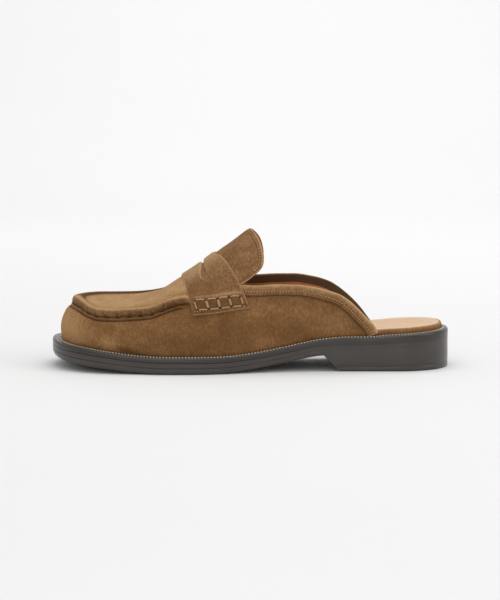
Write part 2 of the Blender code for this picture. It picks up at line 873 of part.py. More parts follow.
def collar_band(side):
    """Binding strip sewn along the collar, from under the strap down to the sole."""
    name = "collar_band_outer" if side == OUTER else "collar_band_inner"
    start, end = BAND_START, COLLAR_END[side] - 0.001
    shares = np.linspace(start, end, 34)
    x = place_of(shares)
    z = collar_height(side, shares)
    slope = np.gradient(z, x)
    tilt = np.hypot(1, slope)
    outside, inside = [], []
    depths = (0.0002, 0.5 * BAND_WIDTH, BAND_WIDTH)
    for i in range(len(x)):
        for depth in depths:
            at = FORM.at_place(side, x[i] + depth * slope[i] / tilt[i])
            up = max(FORM.up_at_height(at, z[i] - depth / tilt[i]), 0.004)
            outside.append(FORM.point(at, up, GAP + BAND))
            inside.append(FORM.point(at, up, GAP))
    across = len(depths)
    faces = []
    for i in range(len(x) - 1):
        for j in range(across - 1):
            a = i * across + j
            faces.append((a, a + across, a + across + 1, a + 1))
    return new_object(name, between_sheets(name, outside, inside, faces), "suede_strap")


def main():
    for obj in list(bpy.data.objects):
        bpy.data.objects.remove(obj, do_unlink=True)
    for name in ("loafer", "cutters"):
        collection = bpy.data.collections.new(name)
        bpy.context.scene.collection.children.link(collection)
    outsole()
    welt()
    heel()
    insole()
    upper()
    plug()
    tongue()
    strap()
    for side in (OUTER, INNER):
        collar_band(side)


main()
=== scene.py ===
"""Looks of a backless penny loafer for the left foot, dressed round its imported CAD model.

Metres throughout. The toe points to -X and the heel to +X; the outer side of the foot is -Y and
the inner side +Y. Pieces above the sole lie on one last, as columns that rise from the feather
line to the ridge of the instep and fan round the toe.
"""

import logging
import math
from dataclasses import dataclass
from enum import Enum
from typing import Callable, Sequence

import bmesh
import bpy
import numpy as np
from numpy.typing import NDArray
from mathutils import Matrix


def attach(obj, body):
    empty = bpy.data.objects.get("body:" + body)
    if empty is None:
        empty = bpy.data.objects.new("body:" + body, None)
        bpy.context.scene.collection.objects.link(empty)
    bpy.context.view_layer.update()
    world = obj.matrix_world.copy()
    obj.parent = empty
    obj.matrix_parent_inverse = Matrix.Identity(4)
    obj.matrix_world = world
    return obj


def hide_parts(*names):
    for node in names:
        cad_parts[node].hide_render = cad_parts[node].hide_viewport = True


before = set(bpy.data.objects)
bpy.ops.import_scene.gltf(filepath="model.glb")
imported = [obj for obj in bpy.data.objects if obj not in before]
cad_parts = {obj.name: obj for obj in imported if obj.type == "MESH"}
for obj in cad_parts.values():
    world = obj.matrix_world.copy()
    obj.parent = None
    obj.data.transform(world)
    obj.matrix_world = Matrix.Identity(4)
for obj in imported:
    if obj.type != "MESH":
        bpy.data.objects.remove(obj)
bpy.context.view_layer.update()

Array = NDArray[np.float64]
Rows = Sequence[tuple[float, ...]]
Triple = tuple[float, float, float]
Colour = Triple
Socket = bpy.types.NodeSocket

log = logging.getLogger("loafer")

# Plan of the sole: centre line and half width, as shares of ball_width
PLAN = [
    # along, centre, half
    (0.00, 0.058, 0.493),
    (0.07, 0.024, 0.480),
    (0.13, 0.005, 0.479),
    (0.20, -0.007, 0.486),
    (0.27, -0.017, 0.500),
    (0.34, -0.029, 0.493),
    (0.42, -0.041, 0.457),
    (0.50, -0.043, 0.401),
    (0.58, -0.041, 0.355),
    (0.66, -0.031, 0.331),
    (0.74, -0.019, 0.329),
    (0.82, -0.010, 0.338),
    (0.90, -0.005, 0.343),
    (1.00, 0.000, 0.343),
]
# Underside of the outsole: share of toe_spring, then share of breast_height
UNDERSIDE = [
    # along, toe, breast
    (0.000, 1.00, 0.00),
    (0.030, 0.79, 0.00),
    (0.090, 0.56, 0.00),
    (0.160, 0.32, 0.00),
    (0.215, 0.14, 0.00),
    (0.260, 0.03, 0.00),
    (0.290, 0.00, 0.00),
    (0.400, 0.00, 0.00),
    (0.440, 0.00, 0.04),
    (0.486, 0.00, 0.16),
    (0.534, 0.00, 0.34),
    (0.583, 0.00, 0.56),
    (0.631, 0.00, 0.79),
    (0.683, 0.00, 1.00),
    (0.800, 0.00, 1.10),
    (1.000, 0.00, 1.30),
]
# Sole edge: share of fore_edge over the underside, of welt_thick and of tread_round
EDGE = [
    # along, fore, welt, rounding
    (0.000, 1.02, 1.00, 1.00),
    (0.100, 1.03, 1.00, 1.00),
    (0.220, 0.98, 1.00, 1.00),
    (0.390, 0.98, 1.00, 1.00),
    (0.486, 0.93, 1.00, 1.00),
    (0.583, 0.91, 1.05, 1.00),
    (0.640, 0.93, 1.15, 1.00),
    (0.683, 0.94, 1.35, 0.25),
    (0.730, 0.99, 1.50, 0.12),
    (0.797, 0.96, 1.55, 0.12),
    (0.860, 1.01, 1.55, 0.12),
    (1.000, 1.05, 1.55, 0.12),
]
# Feather line, and edge of the insole, set in from the edge of the welt, as shares of feather
INSETS = [
    # along, upper, insole
    (0.00, 1.55, 2.25),
    (0.05, 1.45, 2.15),
    (0.15, 1.10, 1.75),
    (0.30, 1.00, 1.65),
    (0.50, 0.85, 1.50),
    (0.60, 0.75, 1.40),
    (0.83, 0.72, 1.38),
    (0.88, 0.72, 1.05),
    (1.00, 0.72, 1.05),
]
# The last: ridge height as a share of instep_height, ridge offset as a share of ball_width,
# then the squareness of a section, the roll of its top, and the depth of its dish as the ridge's
LAST = [
    # along, ridge, offset, square, roll, dish
    (0.000, 0.474, 0.058, 3.80, 0.06, 0.030),
    (0.138, 0.478, 0.058, 3.50, 0.08, 0.030),
    (0.203, 0.486, 0.055, 3.20, 0.08, 0.028),
    (0.241, 0.508, 0.050, 2.80, 0.07, 0.022),
    (0.272, 0.540, 0.046, 2.45, 0.06, 0.012),
    (0.324, 0.624, 0.036, 2.05, 0.04, 0.000),
    (0.372, 0.717, 0.028, 1.85, 0.02, 0.000),
    (0.414, 0.811, 0.020, 1.85, 0.01, 0.000),
    (0.445, 0.877, 0.014, 1.85, 0.00, 0.000),
    (0.500, 1.000, 0.006, 1.90, 0.00, 0.000),
    (0.600, 1.130, 0.000, 2.00, 0.00, 0.000),
    (0.860, 1.240, 0.000, 2.10, 0.00, 0.000),
]
# Moccasin seam round the plug: height on each side, as a share of quarter_height
SEAM = [
    # along, outer, inner
    (0.000, 0.700, 0.700),
    (0.020, 0.694, 0.708),
    (0.055, 0.672, 0.715),
    (0.083, 0.644, 0.715),
    (0.120, 0.616, 0.710),
    (0.155, 0.610, 0.705),
    (0.200, 0.618, 0.708),
    (0.248, 0.637, 0.725),
    (0.272, 0.667, 0.745),
    (0.300, 0.715, 0.780),
    (0.322, 0.747, 0.805),
    (0.360, 0.780, 0.830),
    (0.420, 0.820, 0.860),
]
# Collar line: height on each side, as a share of quarter_height
COLLAR = [
    # along, outer, inner
    (0.431, 1.420, 1.420),
    (0.434, 1.230, 1.230),
    (0.442, 1.130, 1.130),
    (0.455, 1.050, 1.065),
    (0.468, 1.010, 1.030),
    (0.480, 0.998, 1.020),
    (0.514, 0.989, 1.010),
    (0.562, 1.000, 1.022),
    (0.614, 0.995, 1.024),
    (0.659, 0.967, 0.994),
    (0.700, 0.918, 0.937),
    (0.724, 0.878, 0.872),
    (0.745, 0.815, 0.795),
    (0.766, 0.730, 0.703),
    (0.786, 0.632, 0.597),
    (0.800, 0.568, 0.510),
    (0.808, 0.525, 0.462),
    (0.820, 0.425, 0.410),
]
# Strap: its front and rear edges and its lower ends, up each side from the end to the ridge
STRAP_EDGE = [
    # up, front, rear
    (0.00, 0.359, 0.500),
    (0.25, 0.352, 0.478),
    (0.50, 0.345, 0.456),
    (0.75, 0.338, 0.434),
    (0.92, 0.333, 0.418),
    (1.00, 0.332, 0.415),
]
STRAP_FOOT = [
    # along, height
    (0.30, 0.640),
    (0.359, 0.652),
    (0.500, 0.738),
    (0.550, 0.765),
]
# Tongue: lower edge height as a share of quarter_height, and how far back it ends
TONGUE_FOOT = [
    # along, height
    (0.360, 0.830),
    (0.414, 0.860),
    (0.450, 0.920),
    (0.479, 0.995),
    (0.500, 1.060),
    (0.521, 1.140),
    (0.540, 1.220),
]
TONGUE_END = [
    # up, along
    (0.00, 0.518),
    (0.03, 0.529),
    (0.08, 0.5325),
    (0.165, 0.5332),
    (0.306, 0.5310),
    (0.434, 0.5278),
    (0.580, 0.5222),
    (0.758, 0.5130),
    (0.900, 0.5060),
    (1.00, 0.5015),
]


class Side(Enum):
    """The two long sides of the shoe, by the sign of Y."""

    OUTER = -1
    INNER = 1


# Share of the length where the collar meets the sole on each side
COLLAR_ENDS = {Side.OUTER: 0.819, Side.INNER: 0.813}


def curve(rows: Rows, index: int) -> Callable[[Array], Array]:
    """Makes a smooth curve through one column of a table, with no overshoot.

    Args:
        rows: the table; its first column is the place along.
        index: the column to follow.

    Returns:
        A function of places that gives the values there.
    """
    x = np.array([row[0] for row in rows])
    y = np.array([row[index] for row in rows])
    step = np.diff(x)
    slope = np.diff(y) / step
    tangent = np.zeros(len(x))
    tangent[0], tangent[-1] = slope[0], slope[-1]
    for i in range(1, len(x) - 1):
        if slope[i - 1] * slope[i] > 0:
            before, after = 2 * step[i] + step[i - 1], step[i] + 2 * step[i - 1]
            tangent[i] = (before + after) / (before / slope[i - 1] + after / slope[i])

    def value(at: Array) -> Array:
        """The curve at those places."""
        at = np.clip(at, x[0], x[-1])
        i = np.clip(np.searchsorted(x, at) - 1, 0, len(step) - 1)
        t = (at - x[i]) / step[i]
        return (
            (1 + 2 * t) * (1 - t) ** 2 * y[i]
            + t * (1 - t) ** 2 * step[i] * tangent[i]
            + t * t * (3 - 2 * t) * y[i + 1]
            + t * t * (t - 1) * step[i] * tangent[i + 1]
        )

    return value


def ease(low: float, high: float, at: Array) -> Array:
    """From 0 at low to 1 at high, level at both ends."""
    t = np.clip((at - low) / (high - low), 0, 1)
    return t * t * (3 - 2 * t)


def hump(at: Array, middle: float, width: float) -> Array:
    """A soft bump of height 1 at the middle, gone about two widths away."""
    return np.exp(-(((at - middle) / width) ** 2))


def srgb(red: int, green: int, blue: int) -> Colour:
    """A screen colour of 0 to 255 as the linear colour that a shader takes."""
    parts = [value / 255 for value in (red, green, blue)]
    linear = [c / 12.92 if c <= 0.04045 else ((c + 0.055) / 1.055) ** 2.4 for c in parts]
    return linear[0], linear[1], linear[2]


@dataclass(frozen=True)
class Sizes:
    """Driving sizes of the shoe, the same as in the CAD model."""

    length: float = 0.290
    ball_width: float = 0.1035
    toe_spring: float = 0.0081
    breast_height: float = 0.0118
    instep_height: float = 0.0985
    quarter_height: float = 0.0630
    fore_edge: float = 0.0122
    welt_thick: float = 0.0037
    welt_width: float = 0.0135
    feather: float = 0.0045
    wall: float = 0.0020
    gap: float = 0.0003
    bulge: float = 0.0012
    fan_point: float = 0.138
    throat: float = 0.431
    plug_end: float = 0.360
    toe_cap: float = 0.20
    heel_cap: float = 0.135
    toe_square: float = 2.3
    heel_square: float = 2.2
    breast_top: float = 0.683
    breast_foot: float = 0.724

    def share(self, x: Array) -> Array:
        """Places along X as shares of the length from the toe."""
        return x / self.length + 0.5

    def place(self, share: Array) -> Array:
        """Shares of the length as places along X."""
        return (share - 0.5) * self.length


SIZES = Sizes()


class Outline:
    """Plan outline of the sole, from the back of the heel up the outer side, round and back."""

    STEPS = 600

    def __init__(self, sizes: Sizes) -> None:
        """Works out the outline.

        Args:
            sizes: the driving sizes.
        """
        self.sizes = sizes
        turn = np.linspace(0, math.pi / 2, self.STEPS)
        toe = sizes.toe_cap * (1 - np.cos(turn))
        side = np.linspace(sizes.toe_cap, 1 - sizes.heel_cap, self.STEPS)[1:-1]
        heel = 1 - sizes.heel_cap * (1 - np.sin(turn))
        share = np.concatenate([toe, side, heel])
        toe_depth = np.clip(1 - share / sizes.toe_cap, 0, 1)
        heel_depth = np.clip(1 - (1 - share) / sizes.heel_cap, 0, 1)
        cap = (1 - toe_depth**sizes.toe_square) ** (1 / sizes.toe_square)
        cap *= (1 - heel_depth**sizes.heel_square) ** (1 / sizes.heel_square)
        half = sizes.ball_width * curve(PLAN, 2)(share) * cap
        centre = sizes.ball_width * curve(PLAN, 1)(share)
        outer = np.stack([sizes.place(share), centre - half], axis=1)[::-1]
        inner = np.stack([sizes.place(share), centre + half], axis=1)[1:]
        points = np.concatenate([outer, inner])
        points[:, 1] -= (points[:, 1].max() + points[:, 1].min()) / 2
        length = np.concatenate([[0], np.cumsum(np.hypot(*np.diff(points, axis=0).T))])
        self.at = length / length[-1]
        self.points = points
        self.toe_at = float(self.at[len(outer) - 1])
        self.shares = sizes.share(points[:, 0])
        ahead = self.on_line(self.at + 1e-3) - self.on_line(self.at - 1e-3)
        ahead /= np.hypot(*ahead.T)[:, None]
        self.normals = np.stack([-ahead[:, 1], ahead[:, 0]], axis=1)

    def on_line(self, at: Array) -> Array:
        """Plan points of the outline."""
        at = np.mod(at, 1)
        return np.stack([np.interp(at, self.at, self.points[:, i]) for i in (0, 1)], axis=1)

    def inset(self, at: Array, depth: Array | float) -> Array:
        """Plan points moved in from the outline.

        Args:
            at: places along the outline, 0 to 1.
            depth: how far in, one value or one for each place.

        Returns:
            The points as rows of x and y.
        """
        normal = np.stack([np.interp(at, self.at, self.normals[:, i]) for i in (0, 1)], axis=1)
        normal /= np.hypot(*normal.T)[:, None]
        return self.on_line(at) - normal * np.broadcast_to(depth, at.shape)[:, None]

    def at_share(self, side: Side, share: Array) -> Array:
        """Where along the outline a share of the length lies, on one side."""
        last = int(np.searchsorted(self.at, self.toe_at))
        if side is Side.OUTER:
            return np.interp(share, self.shares[last::-1], self.at[last::-1])
        return np.interp(share, self.shares[last:], self.at[last:])


class Profile:
    """Heights of the sole in side view, as functions of x."""

    def __init__(self, sizes: Sizes) -> None:
        """Keeps the sizes and the curves.

        Args:
            sizes: the driving sizes.
        """
        self.sizes = sizes
        self.toe, self.breast = curve(UNDERSIDE, 1), curve(UNDERSIDE, 2)
        self.fore, self.welt, self.round = curve(EDGE, 1), curve(EDGE, 2), curve(EDGE, 3)

    def underside(self, x: Array) -> Array:
        """Underside of the outsole."""
        share = self.sizes.share(x)
        toe = self.sizes.toe_spring * self.toe(share)
        return toe + self.sizes.breast_height * self.breast(share)

    def welt_top(self, x: Array) -> Array:
        """Top of the welt."""
        return self.underside(x) + self.sizes.fore_edge * self.fore(self.sizes.share(x))

    def welt_seam(self, x: Array) -> Array:
        """Joint between the welt and the outsole."""
        return self.welt_top(x) - self.sizes.welt_thick * self.welt(self.sizes.share(x))


OUTLINE = Outline(SIZES)
OUTLINE_LENGTH = float(np.linalg.norm(np.diff(OUTLINE.points, axis=0), axis=1).sum())
PROFILE = Profile(SIZES)


class Last:
    """The form under the upper: columns along the feather line, each from 0 there to 1 at the
    ridge of the instep."""

    COLUMNS, ROWS, FINE = 900, 220, 500
    REACH = 0.86
    DISH = (0.35, 0.80)
    BULGE_TOP = 0.75
    TOP_NORMAL = 0.99

    def __init__(self, sizes: Sizes, outline: Outline, profile: Profile) -> None:
        """Works out the grid of points and normals.

        Args:
            sizes: the driving sizes.
            outline: the plan outline of the sole.
            profile: the heights of the sole.
        """
        self.sizes = sizes
        ends = [outline.at_share(side, np.array(self.REACH)) for side in Side]
        self.at = np.linspace(ends[0], ends[1], self.COLUMNS)
        share = np.interp(self.at, outline.at, outline.shares)
        foot = outline.inset(self.at, sizes.feather * curve(INSETS, 1)(share))
        self.foot_x = foot[:, 0]
        self.toe_column = int(np.argmin(self.foot_x))
        self.grid, self.reach = self._columns(foot, profile)
        across = np.gradient(self.grid, axis=0)
        across[:, -1] = across[:, -2]
        normal = np.cross(np.gradient(self.grid, axis=1), across)
        self.normal = normal / np.linalg.norm(normal, axis=2)[:, :, None]

    def _columns(self, foot: Array, profile: Profile) -> tuple[Array, Array]:
        """Lays every column out at an even pace.

        Args:
            foot: the plan points of the feather line.
            profile: the heights of the sole.

        Returns:
            The grid of points and the length of each column.
        """
        sizes = self.sizes
        share = sizes.share(foot[:, 0])
        top_share = np.maximum(share, sizes.fan_point)
        ridge = sizes.ball_width * curve(LAST, 2)(top_share)
        top = np.stack([sizes.place(top_share), ridge], axis=1)
        base = profile.welt_top(foot[:, 0]) + sizes.gap
        rise = sizes.instep_height * curve(LAST, 1)(top_share) - base
        power = (2 / curve(LAST, 3)(share))[:, None]
        turn = np.linspace(0, math.pi / 2, self.FINE)[None, :]
        height = np.sin(turn) ** power
        inward = 1 - np.cos(turn) ** power
        span = np.hypot(*(top - foot).T)[:, None]
        swell = np.sin(math.pi * np.clip(height / self.BULGE_TOP, 0, 1))
        inward = inward - sizes.bulge * swell / span
        inward[:, -1] = 1
        plan = foot[:, None, :] + inward[:, :, None] * (top - foot)[:, None, :]
        tall = base[:, None] + rise[:, None] * height
        roll, dish = curve(LAST, 4)(top_share)[:, None], curve(LAST, 5)(top_share)[:, None]
        tall = tall + roll * (plan[:, :, 1] - top[:, 1:]) * height**2
        tall = tall - sizes.instep_height * dish * ease(*self.DISH, inward)
        fine = np.concatenate([plan, tall[:, :, None]], axis=2)
        grid = np.empty((len(foot), self.ROWS, 3))
        reach = np.empty(len(foot))
        for i, line in enumerate(fine):
            step = np.linalg.norm(np.diff(line, axis=0), axis=1)
            length = np.concatenate([[0], np.cumsum(step)])
            reach[i] = length[-1]
            even = np.linspace(0, length[-1], self.ROWS)
            for axis in range(3):
                grid[i, :, axis] = np.interp(even, length, line[:, axis])
        return grid, reach

    def _mix(self, values: Array, at: Array, up: Array) -> Array:
        """Values of the grid between its knots.

        Args:
            values: one value, or one row of them, for each knot.
            at: places along the feather line.
            up: shares of the columns.

        Returns:
            The values there.
        """
        row = np.clip((at - self.at[0]) / (self.at[-1] - self.at[0]), 0, 1) * (self.COLUMNS - 1)
        col = np.clip(up, 0, 1) * (self.ROWS - 1)
        i = np.minimum(row.astype(int), self.COLUMNS - 2)
        j = np.minimum(col.astype(int), self.ROWS - 2)
        s, t = (row - i)[..., None], (col - j)[..., None]
        low = (1 - s) * values[i, j] + s * values[i + 1, j]
        high = (1 - s) * values[i, j + 1] + s * values[i + 1, j + 1]
        return (1 - t) * low + t * high

    def facing(self, at: Array, up: Array) -> Array:
        """Unit normals of the form."""
        at, up = np.broadcast_arrays(np.asarray(at, float), np.asarray(up, float))
        normal = self._mix(self.normal, at, np.minimum(up, self.TOP_NORMAL))
        return normal / np.linalg.norm(normal, axis=-1)[..., None]

    def point(self, at: Array, up: Array, offset: Array | float = 0.0) -> Array:
        """Points of the form, moved out along its normals.

        Args:
            at: places along the feather line.
            up: shares of the columns.
            offset: how far out, one value or one for each.

        Returns:
            The points, with x, y and z last.
        """
        at, up = np.broadcast_arrays(np.asarray(at, float), np.asarray(up, float))
        out = np.broadcast_to(offset, at.shape)[..., None]
        return self._mix(self.grid, at, up) + out * self.facing(at, up)

    def length(self, at: Array) -> Array:
        """Lengths of the columns."""
        return np.interp(at, self.at, self.reach)

    def at_place(self, side: Side, x: Array) -> Array:
        """Where along the feather line a column stands at x, on one side."""
        toe = self.toe_column
        if side is Side.OUTER:
            return np.interp(x, self.foot_x[toe::-1], self.at[toe::-1])
        return np.interp(x, self.foot_x[toe:], self.at[toe:])

    def share(self, at: Array) -> Array:
        """Share of the length at which a column stands."""
        return self.sizes.share(np.interp(at, self.at, self.foot_x))

    def up_at_height(self, at: Array, height: Array) -> Array:
        """Shares of the columns at which they first reach the heights.

        Args:
            at: places along the feather line.
            height: the heights above the ground.

        Returns:
            The shares of the columns.
        """
        at, height = np.broadcast_arrays(np.asarray(at, float), np.asarray(height, float))
        ups = np.linspace(0, 1, self.ROWS)
        found = np.empty(at.shape)
        for place in np.ndindex(at.shape):
            column = self._mix(self.grid, np.full(self.ROWS, at[place]), ups)[:, 2]
            found[place] = np.interp(height[place], np.maximum.accumulate(column), ups)
        return found


LAST_FORM = Last(SIZES, OUTLINE, PROFILE)


# Finishes


class Nodes:
    """Writes the shader nodes of one material."""

    def __init__(self, name: str) -> None:
        """Starts a material with its main shader and the place of each point.

        Args:
            name: name of the material.
        """
        self.material = bpy.data.materials.new(name)
        self.material.use_nodes = True
        self.tree = self.material.node_tree
        self.shader = self.tree.nodes["Principled BSDF"]
        self.place = self.tree.nodes.new("ShaderNodeTexCoord").outputs["Object"]

    def set(self, **values: float | tuple[float, ...]) -> None:
        """Sets sockets of the main shader, with _ for a space in a name."""
        for name, value in values.items():
            self.shader.inputs[name.replace("_", " ")].default_value = value

    def noise(
        self, grain: float, stretch: Triple = (1, 1, 1), detail: float = 3.0, shift: float = 0.0
    ) -> Socket:
        """A noise of one grain.

        Args:
            grain: size of its spots, in metres.
            stretch: how much longer a spot is along each axis.
            detail: how many finer noises ride on it.
            shift: moves it, so that two of one grain differ.

        Returns:
            The socket of its value.
        """
        mapping = self.tree.nodes.new("ShaderNodeMapping")
        mapping.inputs["Location"].default_value = (shift, shift, shift)
        mapping.inputs["Scale"].default_value = [1 / (grain * s) for s in stretch]
        self.tree.links.new(self.place, mapping.inputs["Vector"])
        node = self.tree.nodes.new("ShaderNodeTexNoise")
        node.inputs["Scale"].default_value = 1.0
        node.inputs["Detail"].default_value = detail
        self.tree.links.new(mapping.outputs["Vector"], node.inputs["Vector"])
        return node.outputs[0]

    def tone(self) -> Socket:
        """The tone that a mesh carries at each point, 0 where it has none: the piece's own patches,
        and painted shade and painted highlight.
        """
        node = self.tree.nodes.new("ShaderNodeAttribute")
        node.attribute_name = "tone"
        return node.outputs["Fac"]

    def total(self, base: float, parts: Sequence[tuple[Socket, float]]) -> Socket:
        """Adds weighted values to a base.

        Args:
            base: where the sum starts.
            parts: pairs of a socket and its weight.

        Returns:
            The socket of the sum.
        """
        value = None
        for socket, weight in parts:
            node = self.tree.nodes.new("ShaderNodeMath")
            node.operation = "MULTIPLY_ADD"
            self.tree.links.new(socket, node.inputs[0])
            node.inputs[1].default_value = weight
            if value is None:
                node.inputs[2].default_value = base
            else:
                self.tree.links.new(value, node.inputs[2])
            value = node.outputs[0]
        return value

    def colours(self, value: Socket, stops: Sequence[tuple[float, Colour]]) -> None:
        """Colours the surface by a value.

        Args:
            value: the socket to follow.
            stops: pairs of a value and its colour.
        """
        ramp = self.tree.nodes.new("ShaderNodeValToRGB")
        elements = ramp.color_ramp.elements
        while len(elements) < len(stops):
            elements.new(0.5)
        for element, (position, colour) in zip(elements, stops):
            element.position = position
            element.color = (*colour, 1)
        self.tree.links.new(value, ramp.inputs["Fac"])
        self.tree.links.new(ramp.outputs["Color"], self.shader.inputs["Base Color"])

    def bump(self, value: Socket, depth: float, strength: float = 1.0) -> None:
        """Raises the surface by a value.

        Args:
            value: the socket to follow.
            depth: how far a value of 1 raises it, in metres.
            strength: how much of that shows.
        """
        node = self.tree.nodes.new("ShaderNodeBump")
        node.inputs["Distance"].default_value = depth
        node.inputs["Strength"].default_value = strength
        self.tree.links.new(value, node.inputs["Height"])
        self.tree.links.new(node.outputs["Normal"], self.shader.inputs["Normal"])


@dataclass(frozen=True)
class Suede:
    """Napped leather: soft clouds where the nap lies one way or the other, and a fine grain."""

    name: str
    dark: Colour
    middle: Colour
    light: Colour
    cloud: float = 0.34
    nap: float = 0.26
    hair: float = 0.50
    grain: float = 0.60
    slot: str = "suede"

    def material(self) -> bpy.types.Material:
        """The material of this suede."""
        nodes = Nodes(self.name)
        wide = nodes.noise(0.030, (1.0, 1.0, 0.7), 2.0, 3.1)
        patch = nodes.noise(0.0085, (1.2, 1.0, 1.0), 4.0, 1.7)
        nap = nodes.noise(0.0016, (1.0, 1.0, 1.6), 3.0, 5.3)
        grain = nodes.noise(0.00055, detail=2.0)
        parts = [(wide, self.cloud), (patch, self.nap), (nap, self.hair), (grain, self.grain)]
        base = 0.5 - 0.5 * sum(weight for _, weight in parts)
        parts.append((nodes.tone(), 1.0))
        stops = [(0.0, self.dark), (0.5, self.middle), (1.0, self.light)]
        nodes.colours(nodes.total(base, parts), stops)
        nodes.bump(nodes.total(0.0, [(nap, 0.7), (grain, 0.5), (patch, 0.8)]), 0.00035, 0.8)
        nodes.set(Roughness=0.94, Sheen_Weight=0.22, Sheen_Roughness=0.45, Specular_IOR_Level=0.12)
        nodes.set(Sheen_Tint=(*self.light, 1))
        return nodes.material


@dataclass(frozen=True)
class Leather:
    """Smooth leather with a fine grain, and streaks along the shoe."""

    name: str
    dark: Colour
    light: Colour
    streak: Triple = (6.0, 1.0, 1.0)
    roughness: float = 0.5
    slot: str = "lining"

    def material(self) -> bpy.types.Material:
        """The material of this leather."""
        nodes = Nodes(self.name)
        wide = nodes.noise(0.006, self.streak, 3.0, 2.2)
        fine = nodes.noise(0.0009, self.streak, 2.0, 4.4)
        grain = nodes.noise(0.0005)
        parts = [(wide, 0.8), (fine, 0.5), (grain, 0.2), (nodes.tone(), 1.0)]
        nodes.colours(nodes.total(-0.25, parts), [(0.0, self.dark), (1.0, self.light)])
        nodes.bump(nodes.total(0.0, [(fine, 0.5), (grain, 0.8)]), 0.00012, 0.6)
        nodes.set(Roughness=self.roughness, Specular_IOR_Level=0.35)
        return nodes.material


@dataclass(frozen=True)
class SoleStock:
    """Dark moulded sole edge, buffed to a soft gloss."""

    name: str
    dark: Colour
    light: Colour
    roughness: float = 0.30
    slot: str = "sole"

    def material(self) -> bpy.types.Material:
        """The material of this sole."""
        nodes = Nodes(self.name)
        band = nodes.noise(0.0012, (9.0, 9.0, 0.6), 3.0, 1.3)
        wide = nodes.noise(0.014, (1.6, 1.6, 1.0), 2.0)
        fine = nodes.noise(0.0004, detail=2.0)
        parts = [(band, 0.5), (wide, 0.5), (fine, 0.3), (nodes.tone(), 1.0)]
        nodes.colours(nodes.total(-0.15, parts), [(0.0, self.dark), (1.0, self.light)])
        nodes.bump(nodes.total(0.0, [(band, 0.7), (fine, 0.4)]), 0.00012, 0.5)
        nodes.set(Roughness=self.roughness, Specular_IOR_Level=0.5)
        return nodes.material


@dataclass(frozen=True)
class Thread:
    """Waxed thread, twisted."""

    name: str
    dark: Colour
    light: Colour
    slot: str = "thread"

    def material(self) -> bpy.types.Material:
        """The material of this thread."""
        nodes = Nodes(self.name)
        twist = nodes.noise(0.0006, (1.0, 1.0, 2.5), 1.0)
        wide = nodes.noise(0.012)
        shade = nodes.total(-0.2, [(twist, 0.8), (wide, 0.6)])
        nodes.colours(shade, [(0.0, self.dark), (1.0, self.light)])
        nodes.bump(twist, 0.00015, 0.7)
        nodes.set(Roughness=0.6, Specular_IOR_Level=0.3)
        return nodes.material


Finish = Suede | Leather | SoleStock | Thread

SUEDE = Suede("suede_tan", srgb(72, 47, 24), srgb(119, 84, 50), srgb(172, 132, 90))
# The plug's suede is a lighter copy of the tan suede: painted light for the plug's top, which faces
# the lamps.
SUEDE_PLUG = Suede(
    "suede_plug", srgb(82, 55, 30), srgb(158, 122, 82), srgb(206, 172, 128), nap=0.30
)
SUEDE_STRAP = Suede("suede_strap", srgb(66, 43, 23), srgb(122, 86, 53), srgb(182, 148, 108))
SUEDE_EDGE = Suede("suede_footbed_edge", srgb(88, 58, 33), srgb(134, 96, 60), srgb(178, 140, 98))
# The facing's dark brown is darkened further as painted shade inside the collar.
FACING = Leather("dark_facing", srgb(58, 40, 24), srgb(100, 72, 46), roughness=0.75)
LINING = Leather("lining_leather", srgb(158, 94, 52), srgb(212, 140, 90))
TONGUE_LINING = Leather(
    "tongue_lining_leather", srgb(118, 78, 48), srgb(158, 112, 74), roughness=0.6
)
# Dark finish of the needle holes: painted shade inside the holes.
PIT = Leather("needle_pit", srgb(58, 36, 22), srgb(76, 50, 32), roughness=0.9)
SOCK = Leather("sock_leather", srgb(196, 156, 118), srgb(232, 200, 166), slot="sock")
SOLE = SoleStock("sole_edge", srgb(38, 33, 29), srgb(74, 67, 61))
WELT = SoleStock("welt_strip", srgb(30, 26, 23), srgb(62, 55, 49), slot="welt")
# Dark finish of the collar's pinholes: painted shade inside the holes.
HOLE = SoleStock(
    "needle_hole", srgb(26, 16, 9), srgb(44, 28, 16), roughness=0.9, slot="suede"
)
THREAD_TAN = Thread("thread_tan", srgb(168, 128, 86), srgb(222, 186, 142))
THREAD_PALE = Thread("thread_pale", srgb(190, 178, 160), srgb(240, 230, 216))
THREAD_BROWN = Thread("thread_brown", srgb(138, 104, 70), srgb(196, 160, 120))
THREAD_DARK = Thread("thread_dark", srgb(84, 56, 32), srgb(132, 96, 60))


# Meshes


def dress(obj: bpy.types.Object, finish: Finish, *nodes: str) -> bpy.types.Object:
    """Gives a piece its finish, its body and the nodes that it stands for.

    Args:
        obj: the piece.
        finish: its finish.
        *nodes: CAD nodes that it replaces.

    Returns:
        The piece.
    """
    obj.data.materials.append(finish.material())
    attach(obj, "root")
    if nodes:
        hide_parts(*nodes)
    return obj


